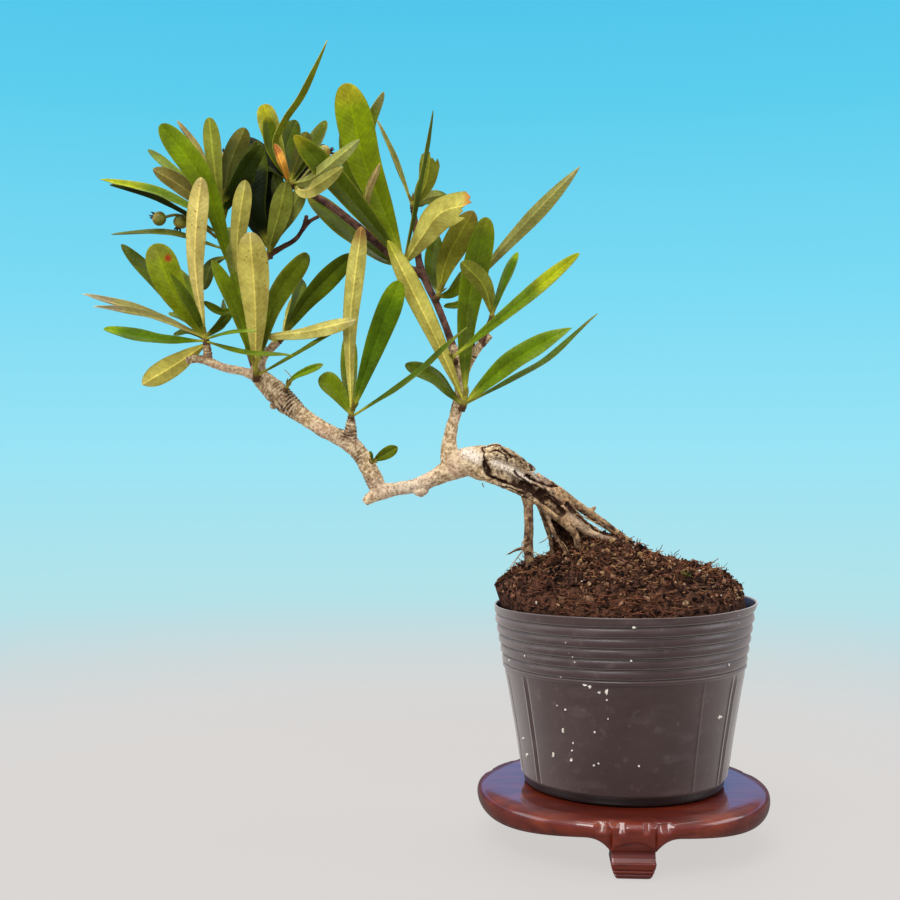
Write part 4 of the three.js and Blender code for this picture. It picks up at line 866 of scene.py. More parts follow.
knot_places = np.array([seen(*knot[:3]) for knot in KNOTS])
skin = vertices(wood)
normals = np.empty(len(skin) * 3)
wood.data.vertices.foreach_get("normal", normals)
normals = normals.reshape(-1, 3)
on_line = np.array([tree_of_lines.find(Vector(point))[1] for point in skin])
offset = skin - line_points[on_line]
tangent = line_along[on_line]
kinds = line_kind[on_line]
upright = unit(np.cross(tangent, (0, 1, 0)))
level = np.cross(upright, tangent)
turn = np.arctan2((offset * upright).sum(1), (offset * level).sum(1))
travel = travelled(line_points)[on_line] + (offset * tangent).sum(1)
knot_share, knot_rise, cleft, cleft_dark, white = np.zeros((5, len(skin)))
for place, (_, _, _, spread, swell, darkness) in zip(knot_places, KNOTS):
    share = np.exp(-((np.linalg.norm(skin - place, axis=1) / spread) ** 2))
    knot_share = np.maximum(knot_share, share * darkness)
    knot_rise += share * swell
rings_round = travel * 2 * math.pi / KNOT_RINGS_APART + 0.8 * np.sin(turn * 2)
knot_rise += KNOT_RING_DEPTH * knot_share * np.sin(rings_round)


def noise_at(places, scale):
    """Smooth noise from -1 to 1 at each place in mm, with features about `scale` mm across."""
    return np.array([noise.noise(Vector(place)) for place in places / scale])


# Clefts between the strands of the old trunk, and the strands that weather has bleached
CREVICES = [
    # seen places [x, z], half width, depth
    [
        [
            [-37.9, 105.6], [-37.5, 103.3], [-36.1, 101.9], [-34.1, 100.8], [-31.6, 100.1],
            [-28.3, 99.1], [-25.0, 97.7], [-23.1, 96.0], [-19.9, 94.0], [-16.0, 91.4],
        ], 0.95, 1.7,
    ],
    [[[-29.6, 102.8], [-27.6, 100.8], [-25.0, 99.1], [-22.5, 98.2]], 0.35, 0.7],
    [[[-25.0, 103.5], [-22.5, 103.2], [-19.9, 100.9], [-18.0, 99.2]], 0.3, 0.6],
    [[[-26.5, 101.8], [-23.1, 100.2], [-20.5, 99.2], [-17.4, 98.8]], 0.35, 0.7],
    [[[-22.5, 97.4], [-18.8, 95.4], [-16.3, 94.0]], 0.8, 1.2],
    [[[-14.8, 93.7], [-12.3, 91.2], [-9.5, 89.2], [-7.2, 87.8]], 0.6, 1.0],
    [[[-38.1, 110.0], [-34.7, 110.6], [-32.4, 109.0], [-30.7, 107.0]], 0.25, 0.5],
    [[[-36.9, 108.4], [-34.7, 109.0], [-32.7, 107.6], [-31.6, 105.6]], 0.2, 0.4],
    [[[-38.9, 109.9], [-38.4, 107.6], [-37.8, 105.0]], 0.2, 0.4],
    [[[-34.1, 98.8], [-30.4, 98.0], [-27.0, 96.3]], 0.2, 0.4],
]
PALE_STRANDS = [
    # seen places [x, z], half width
    [[[-35.2, 105.6], [-31.6, 103.9], [-28.4, 102.2], [-26.2, 100.2]], 1.4],
    [[[-24.2, 102.2], [-22.5, 101.4], [-20.8, 99.9]], 1.1],
    [[[-43.5, 108.4], [-40.3, 106.7]], 1.8],
    [[[-13.7, 90.6], [-9.5, 86.3], [-2.1, 83.8]], 1.0],
    [[[-20.2, 90.3], [-18.2, 86.1]], 0.5],
]


def on_plane(places):
    """Where the camera sees each place, as [x, z] on the upright plane through the pot."""
    reach = EYE_IN_LAYOUT[1] / (EYE[1] - places[:, 1])
    return (EYE + (places - EYE) * reach[:, None] - LAYOUT)[:, [0, 2]]


def from_line(places, line):
    """Distance of each place from a line through the given points."""
    line = smooth_path(line, 8)
    nearest = np.full(len(places), 1e9)
    for start, end in zip(line, line[1:]):
        step = end - start
        share = np.clip((places - start) @ step / (step @ step), 0, 1)
        off = np.linalg.norm(places - start - share[:, None] * step, axis=1)
        nearest = np.minimum(nearest, off)
    return nearest


is_old, is_root, is_young = (kinds == kind for kind in ("old", "root", "young"))
skin_seen = on_plane(skin)
faces_camera = smoothstep(0.15, -0.35, normals[:, 1])
wander = 0.35 * np.stack([noise_at(skin + 11, 1.9), noise_at(skin + 23, 1.9)], 1)


def drawn(line, half):
    """How much each bit of the surface is on a line that is seen on the wood."""
    return np.exp(-((from_line(skin_seen + wander, line) / half) ** 2)) * faces_camera


for line, half, depth in CREVICES:
    share = drawn(line, half)
    cleft = np.maximum(cleft, share * depth)
    cleft_dark = np.maximum(cleft_dark, share)
# Furrows run along the old trunk and the roots, and fine cracks run round the limbs.
ringed = np.stack([travel * 0.1, np.cos(turn) * 1.3, np.sin(turn) * 1.3], 1)
furrow = np.abs(noise_at(ringed + 7.3, 0.42))
furrowed = is_old * smoothstep(-42, -36, skin[:, 0] - LAYOUT[0]) + 0.55 * is_root
rings_round = np.stack([travel * 1.5, np.cos(turn) * 0.9, np.sin(turn) * 0.9], 1)
ring_crack = (1 - smoothstep(0, 0.14, np.abs(noise_at(rings_round + 3.1, 1.5)))) * ~is_root
relief = 0.13 * noise_at(skin, 1.6) + 0.07 * noise_at(skin + 50, 0.7)
relief += 0.1 * noise_at(skin + 90, 3.5)
relief = relief * np.where(is_young, YOUNG_RELIEF, 1) + knot_rise
thickness = np.minimum(1, line_radii[on_line] / 2)
relief -= FURROW_DEPTH * furrowed * (1 - smoothstep(0, 0.15, furrow)) * thickness
relief -= cleft + RING_CRACK_DEPTH * ring_crack * np.where(is_young, YOUNG_CRACKS, 1)
set_vertices(wood, skin + normals * relief[:, None])

# Colour masks: dark in the knots, furrows and cracks and where the wood is soiled, pale on the
# bleached strands
streaks = travel * 2 * math.pi / KNOT_STREAKS_APART + 2 * noise_at(skin + 61, 2)
knot_dark = knot_share * (0.62 + 0.38 * np.sin(streaks))
dark = np.maximum(knot_dark, 0.75 * furrowed * (1 - smoothstep(0.02, 0.16, furrow)))
here_and_there = 0.35 + 0.65 * smoothstep(-0.1, 0.3, noise_at(skin + 77, 4))
dark = np.maximum(dark, 0.35 * ring_crack * here_and_there)
soiled = 0.2 + 0.6 * smoothstep(-0.3, 0.2, noise_at(skin + 41, 1.3))
old_end = is_old * smoothstep(-38, -26, skin[:, 0] - LAYOUT[0])
dark = np.maximum(dark, old_end * soiled)
dark = np.maximum(dark, is_root * smoothstep(104, 84, skin[:, 2]) * soiled)
for line, half in PALE_STRANDS:
    white = np.maximum(white, drawn(line, half))
# A pale place under the line to the left
from_pale = np.linalg.norm(skin - seen(-60, 99, -4), axis=1)
white = np.maximum(white, 0.5 * np.exp(-((from_pale / 6) ** 2)))
dark = np.maximum(dark * (1 - 0.8 * white), smoothstep(0.2, 0.6, cleft_dark) * 1.6)
point_colours(wood, "bark_dark_young_pale", np.stack([dark, is_young * 1.0, white], 1))
point_colours(wood, "bark_root", np.repeat(is_root[:, None], 3, axis=1))

bark, tree, shader = new_material("bonsai_bark")
masks = attribute(tree, "bark_dark_young_pale")["Color"]
masks = node(tree, "ShaderNodeSeparateColor", {"Color": masks}).outputs
skin = mix(tree, patches(tree, 850, 0.36, 0.62, 5), linear(176, 143, 104), linear(242, 216, 174))
skin = mix(tree, times(tree, patches(tree, 120, 0.5, 0.66, 3), 0.5), skin, linear(220, 184, 158))
skin = mix(tree, masks["Blue"], skin, linear(240, 224, 206))
grain = patches(tree, 420, 0.4, 0.62)
root_bark = mix(tree, grain, linear(110, 76, 52), linear(196, 156, 112))
skin = mix(tree, times(tree, attribute(tree, "bark_root")["Fac"], 0.75), skin, root_bark)
grain = patches(tree, 380, 0.4, 0.62)
skin = mix(tree, masks["Green"], skin, mix(tree, grain, linear(70, 47, 44), linear(118, 84, 72)))
cracks = patches(tree, 1300, 0.5, 0.64, 5)
skin = mix(tree, times(tree, cracks, 0.6), skin, linear(104, 70, 46))
wrinkle = maths(tree, "ADD", patches(tree, 500, 0.3, 0.7), 0.45)
wrinkle = maths(tree, "MINIMUM", times(tree, masks["Red"], wrinkle), 1.0)
bark_inputs = {
    "Base Color": mix(tree, wrinkle, skin, linear(64, 41, 30)),
    "Roughness": 0.85,
    "Specular IOR Level": 0.25,
    "Normal": bump(tree, patches(tree, 900, 0.25, 0.75, 6), 0.00016),
}
plug(tree, shader, bark_inputs)
finish_piece(wood, bark, "bark", "trunk")

# Rootlets. Hair roots that dried in the air, where rain washed the soil from the root ball.
HAIR_ROOTS = [
    [[-27.6, 81.4, -5], [-30, 80.4, -6], [-32.2, 79.2, -6.6]],
    [[-27.4, 80.6, -5], [-29.4, 77.8, -6], [-30.6, 76.2, -6], [-30.4, 74.2, -6]],
    [[-25.6, 80.4, -5.4], [-23.6, 79.8, -6.6], [-22, 78.8, -7]],
    [[-19.6, 85, -3.6], [-21.2, 83.4, -3.6], [-22.8, 82.6, -3.2]],
    [[-16.2, 83, -6.2], [-15.2, 81.6, -7], [-14.4, 80, -7.4]],
    [[-26.6, 84, -5.4], [-27.6, 82.4, -6], [-27.4, 79.4, -6.4]],
    [[-12.4, 91, -4.6], [-10.4, 90.2, -4.6], [-7.4, 88.6, -4], [-4.6, 86.6, -3.4]],
    [[-9.6, 90.4, -1.6], [-7.6, 88.8, -1.8], [-5.6, 88.4, -1.4], [-4.4, 87, -0.6]],
    [[-38.8, 99.6, -2], [-38.6, 98.8, -2.2], [-38.3, 98.4, -2.2]],
    [[-93.4, 127.2, -0.2], [-92.9, 129, -0.8], [-93.7, 130.6, -1.2], [-95, 131.8, -1.4]],
]
HAIR_RADIUS, HAIR_END_RADIUS = 0.2, 0.09
shapes = []
for places in HAIR_ROOTS:
    path = smooth_path([seen(*place) for place in places], 6)
    shapes.append(tube(path, np.linspace(HAIR_RADIUS, HAIR_END_RADIUS, len(path)), 5))
hair_roots, _ = gathered("hair_roots", shapes)
point_colours(hair_roots, "bark_root", np.ones((len(hair_roots.data.vertices), 3)))
finish_piece(hair_roots, bark, "bark")

# Soil. An old root ball of peat, bark fibre and pumice. It stands proud of the rim on the left,
# has shrunk away from the wall on the right, and is heaped where the roots go in.
SOIL_EDGE_RADIUS = INNER_RIM_RADIUS - 0.7
SOIL_SIDES = 200
LEFT_RISE, SHOULDER, DOME, MOUND = 4.6, 8, 3.5, 7.5
SHRINKAGE = 0.045
BULGE = 1.6


def soil_height(x, y):
    """Height of the soil at a place from the pot's axis, in mm."""
    share = np.minimum(1, np.hypot(x, y) / SOIL_EDGE_RADIUS)
    left = np.maximum(0, -x / SOIL_EDGE_RADIUS) ** 2
    right = np.maximum(0, x / SOIL_EDGE_RADIUS) ** 2
    edge = RIM_HEIGHT - 0.1 + POT_LEAN * x + LEFT_RISE * left
    shoulder = SHOULDER * (1 - share**9) * (1 - 0.1 * left - 0.1 * right)
    mound = MOUND * np.exp(-((x + 6) ** 2 + y**2) / 180)
    lumps = 0.5 * np.sin(1.1 * x + 0.4 * y) * np.sin(0.9 * y - 0.5)
    lumps = lumps + 0.4 * np.sin(0.7 * x - 1.7 * y)
    return edge + shoulder + DOME * (1 - share) + mound + lumps


def soil_place(share, turn):
    """A place on the soil, at a share of the way out from its middle."""
    x = SOIL_EDGE_RADIUS * share * np.cos(turn)
    y = SOIL_EDGE_RADIUS * share * np.sin(turn)
    shrunk = 1 - SHRINKAGE * np.maximum(0, x / SOIL_EDGE_RADIUS) ** 2
    x, y = x * shrunk, y * shrunk
    height = soil_height(x, y)
    x = x - BULGE * np.maximum(0, -x / SOIL_EDGE_RADIUS) ** 2 * smoothstep(0.9, 1, share)
    return np.stack([x, y, height], -1)


soil_shares = np.linspace(1, 0.015, 70)
soil_section = rising(POT_BASE, (20, 2.6), (25.8, 3))
soil_section += [(32, RINGS_FOOT), (34, RIM_HEIGHT - 2.4)]
side_rings = len(soil_section)
soil_section += [(SOIL_EDGE_RADIUS * share, RIM_HEIGHT + 3) for share in soil_shares]
soil = turned("soil_mound", soil_section, SOIL_SIDES)
rings = vertices(soil).reshape(len(soil_section), SOIL_SIDES, 3)
turns = np.arctan2(rings[side_rings:, :, 1], rings[side_rings:, :, 0])
rings[:side_rings] = lean(rings[:side_rings])
rings[side_rings:] = soil_place(soil_shares[:, None] * np.ones_like(turns), turns)
top = rings[side_rings:].reshape(-1, 3)
crumbly = 0.8 * noise_at(top, 3.1) + 0.6 * noise_at(top + 31, 1.5)
rings[side_rings:, :, 2] += crumbly.reshape(turns.shape)
set_vertices(soil, rings.reshape(-1, 3) + POT_AXIS)

peat, tree, shader = new_material("damp_peat")
dirt = patches(tree, 700, 0.35, 0.65, 5)
peat_inputs = {
    "Base Color": mix(tree, dirt, linear(36, 23, 18), linear(92, 62, 48)),
    "Roughness": 0.95,
    "Specular IOR Level": 0.15,
    "Normal": bump(tree, patches(tree, 900, 0.2, 0.8, 6), 0.0004),
}
plug(tree, shader, peat_inputs)
finish_piece(soil, peat, "soil", "soil")

# The core of the root ball, still held by the roots where rain has washed it bare: lumps of peat
# packed between them, each a list of places [x, z, depth, width].
CORE = [
    [[-20.2, 93.4, 2.4, 2], [-18.4, 89.6, 3, 4], [-16.6, 85.4, 3.6, 4.8], [-15.6, 78, 4, 5]],
    [[-17, 92.4, 3, 3], [-12.8, 88.6, 3.6, 4.2], [-9.4, 85.6, 4, 4.4], [-5.6, 81, 4, 5]],
    [[-14.4, 88, 3, 4], [-12, 84.4, 3, 5.4], [-10, 78, 3, 6]],
    [[-8, 84.6, 3, 3], [-4.4, 83, 3, 3.6], [-0.6, 80.4, 3, 4]],
]
CORE_SIDES = 30
shapes = []
for places in CORE:
    path, radii = limb_path(places, 14)
    places, faces = tube(path, radii, CORE_SIDES)
    middle = np.repeat(path, CORE_SIDES, axis=0)
    rough = 1 + 0.3 * noise_at(places + 5, 1.8) + 0.25 * noise_at(places + 9, 0.8)
    shapes.append((middle + (places - middle) * rough[:, None], faces))
core, _ = gathered("root_core", shapes)
core_places = vertices(core)
finish_piece(core, peat, "soil")

# Crumbs of peat and bark, chips of pumice and a tuft of moss on the mound
CRUMB_TINTS = [
    # share of the crumbs, colour
    (0.26, (58, 38, 30)),
    (0.28, (94, 62, 48)),
    (0.18, (126, 84, 64)),
    (0.14, (152, 112, 86)),
    (0.05, (188, 150, 114)),
    (0.08, (30, 20, 18)),
    (0.01, (224, 212, 194)),
]
PUMICE, OLD_BARK, MOSS = CRUMB_TINTS[-1][1], (176, 138, 94), (92, 104, 44)
CRUMB_COUNT, CORE_CRUMB_COUNT, MOSS_COUNT = 6400, 700, 90
CRUMB_SIZE, LARGEST_CRUMB, CORE_CRUMB_SIZE, PUMICE_SIZE = 0.34, 1.1, 0.3, 0.45
OLD_BARK_SHARE = 0.12
chance = np.random.default_rng(5)


def rgb(colour):
    return np.array(linear(*colour)[:3])


def tinted(colour, spread=0.12):
    """A colour with a little chance in it."""
    return rgb(colour) * (1 + spread * chance.standard_normal())


def turned_at_random(places):
    return places @ np.linalg.qr(chance.standard_normal((3, 3)))[0]


def crumb_form(size):
    """A crumb, longer one way and flat, turned at random."""
    return turned_at_random(roughened(grain_places, 0.28) * (size * 1.3, size, size * 0.7))


select()
bpy.ops.mesh.primitive_ico_sphere_add(subdivisions=1, radius=1)
grain_places, grain_faces = as_form(bpy.context.object)
shapes, tints = [], []
tint_shares = np.array([share for share, _ in CRUMB_TINTS])
for _ in range(CRUMB_COUNT):
    share, turn = math.sqrt(chance.random()), chance.random() * 2 * math.pi
    place = soil_place(share, turn) + POT_AXIS
    size = min(LARGEST_CRUMB, CRUMB_SIZE * math.exp(0.5 * chance.standard_normal()))
    crumb = crumb_form(size)
    place[2] += size * 0.35 + 0.4 * chance.standard_normal() * (share < 0.95)
    colour = CRUMB_TINTS[chance.choice(len(CRUMB_TINTS), p=tint_shares)][1]
    if colour == PUMICE:
        crumb = crumb * PUMICE_SIZE / max(size, PUMICE_SIZE)
    if 0.1 < share < 0.7 and chance.random() < OLD_BARK_SHARE:
        colour = OLD_BARK
    shapes.append((crumb + place, grain_faces))
    tints.append(tinted(colour))
for place in core_places[chance.choice(len(core_places), CORE_CRUMB_COUNT)]:
    size = CORE_CRUMB_SIZE * math.exp(0.4 * chance.standard_normal())
    shapes.append((crumb_form(size) + place, grain_faces))
    tints.append(tinted(CRUMB_TINTS[chance.choice(4)][1]))
moss_middle = soil_place(0.72, math.radians(-58)) + POT_AXIS
for _ in range(MOSS_COUNT):
    place = moss_middle + chance.standard_normal(3) * (0.9, 0.8, 0.4) + (0, 0, 0.5)
    shapes.append((turned_at_random(grain_places * (0.16, 0.16, 0.34)) + place, grain_faces))
    tints.append(tinted(MOSS))
crumbs, counts = gathered("soil_crumbs", shapes)
point_colours(crumbs, "tint", np.repeat(tints, counts, axis=0))

crumb_finish, tree, shader = new_material("soil_crumb")
shade = mix(tree, patches(tree, 1300, 0.3, 0.7), linear(150, 150, 150), linear(255, 255, 255))
crumb_inputs = {
    "Base Color": mix(tree, 1.0, attribute(tree, "tint")["Color"], shade, "MULTIPLY"),
    "Roughness": 0.95,
    "Specular IOR Level": 0.15,
    "Normal": bump(tree, patches(tree, 1500, 0.2, 0.8), 0.0002),
}
plug(tree, shader, crumb_inputs)
finish_piece(crumbs, crumb_finish, "soil", smooth=False)

# Fibres of coir and dead roots, matted through the peat, reddest where the ball's edge shows
FIBRE_TINTS = [(104, 66, 46), (140, 92, 66), (178, 130, 90), (66, 42, 32), (138, 82, 58)]
EDGE_FIBRE, STANDING_FIBRE = (150, 94, 70), (110, 76, 52)
FIBRE_COUNT, EDGE_FIBRE_COUNT, STANDING_COUNT, CORE_FIBRE_COUNT = 2100, 150, 60, 160
FIBRE_STEPS = 6
FARTHEST_OUT = INNER_RIM_RADIUS - 0.2
shapes, tints = [], []


def fibre(place, heading, length, radius, colour, droop=0.0):
    """A fibre that wanders from a place and stays inside the pot."""
    path = [place]
    for _ in range(FIBRE_STEPS):
        heading = heading + chance.standard_normal(3) * (0.35, 0.35, 0.2) - (0, 0, droop)
        heading = heading / np.linalg.norm(heading)
        step = path[-1] + heading * length / FIBRE_STEPS
        reach = np.hypot(*(step - POT_AXIS)[:2])
        if reach > FARTHEST_OUT:
            step[:2] = POT_AXIS[:2] + (step - POT_AXIS)[:2] * FARTHEST_OUT / reach
        path.append(step)
    shapes.append(tube(path, np.linspace(radius, radius * 0.5, FIBRE_STEPS + 1), 4))
    tints.append(tinted(colour))


# All over the mound, then along the edge at the front, standing up at the left, and on the core
for _ in range(FIBRE_COUNT):
    share, turn = math.sqrt(chance.random()), chance.random() * 2 * math.pi
    heading = chance.standard_normal(3) * (1, 1, 0.3 if share < 0.85 else 0.12)
    length = (1.5 + 4 * chance.random() ** 2) * (1 if share < 0.8 else 0.5)
    colour = FIBRE_TINTS[chance.integers(len(FIBRE_TINTS))]
    place = soil_place(share * 0.98, turn) + POT_AXIS + (0, 0, 0.3 + 0.5 * chance.random())
    fibre(place, heading, length, 0.1 + 0.12 * chance.random(), colour)
for _ in range(EDGE_FIBRE_COUNT):
    turn = math.radians(-158 + 85 * chance.random())
    place = soil_place(0.9 + 0.1 * chance.random(), turn) + POT_AXIS
    place += (0, -0.3, 0.3 - 1.2 * chance.random())
    heading = np.array((-math.sin(turn), math.cos(turn), 0.0)) * chance.choice((-1, 1))
    fibre(place, heading, 3 + 6 * chance.random(), 0.09, EDGE_FIBRE)
for _ in range(STANDING_COUNT):
    turn = math.radians(150 + 60 * chance.random())
    place = soil_place(0.7 + 0.3 * chance.random(), turn) + POT_AXIS
    fibre(place, np.array((-0.3, 0, 1.0)), 1.5 + 2 * chance.random(), 0.08, STANDING_FIBRE)
for place in core_places[chance.choice(len(core_places), CORE_FIBRE_COUNT)]:
    heading = chance.standard_normal(3) * (1, 0.4, 1)
    length = 1 + 2.4 * chance.random()
    fibre(place, heading, length, 0.09, FIBRE_TINTS[chance.integers(5)], droop=0.1)
fibres, counts = gathered("soil_fibres", shapes)
point_colours(fibres, "tint", np.repeat(tints, counts, axis=0))
finish_piece(fibres, crumb_finish, "soil")

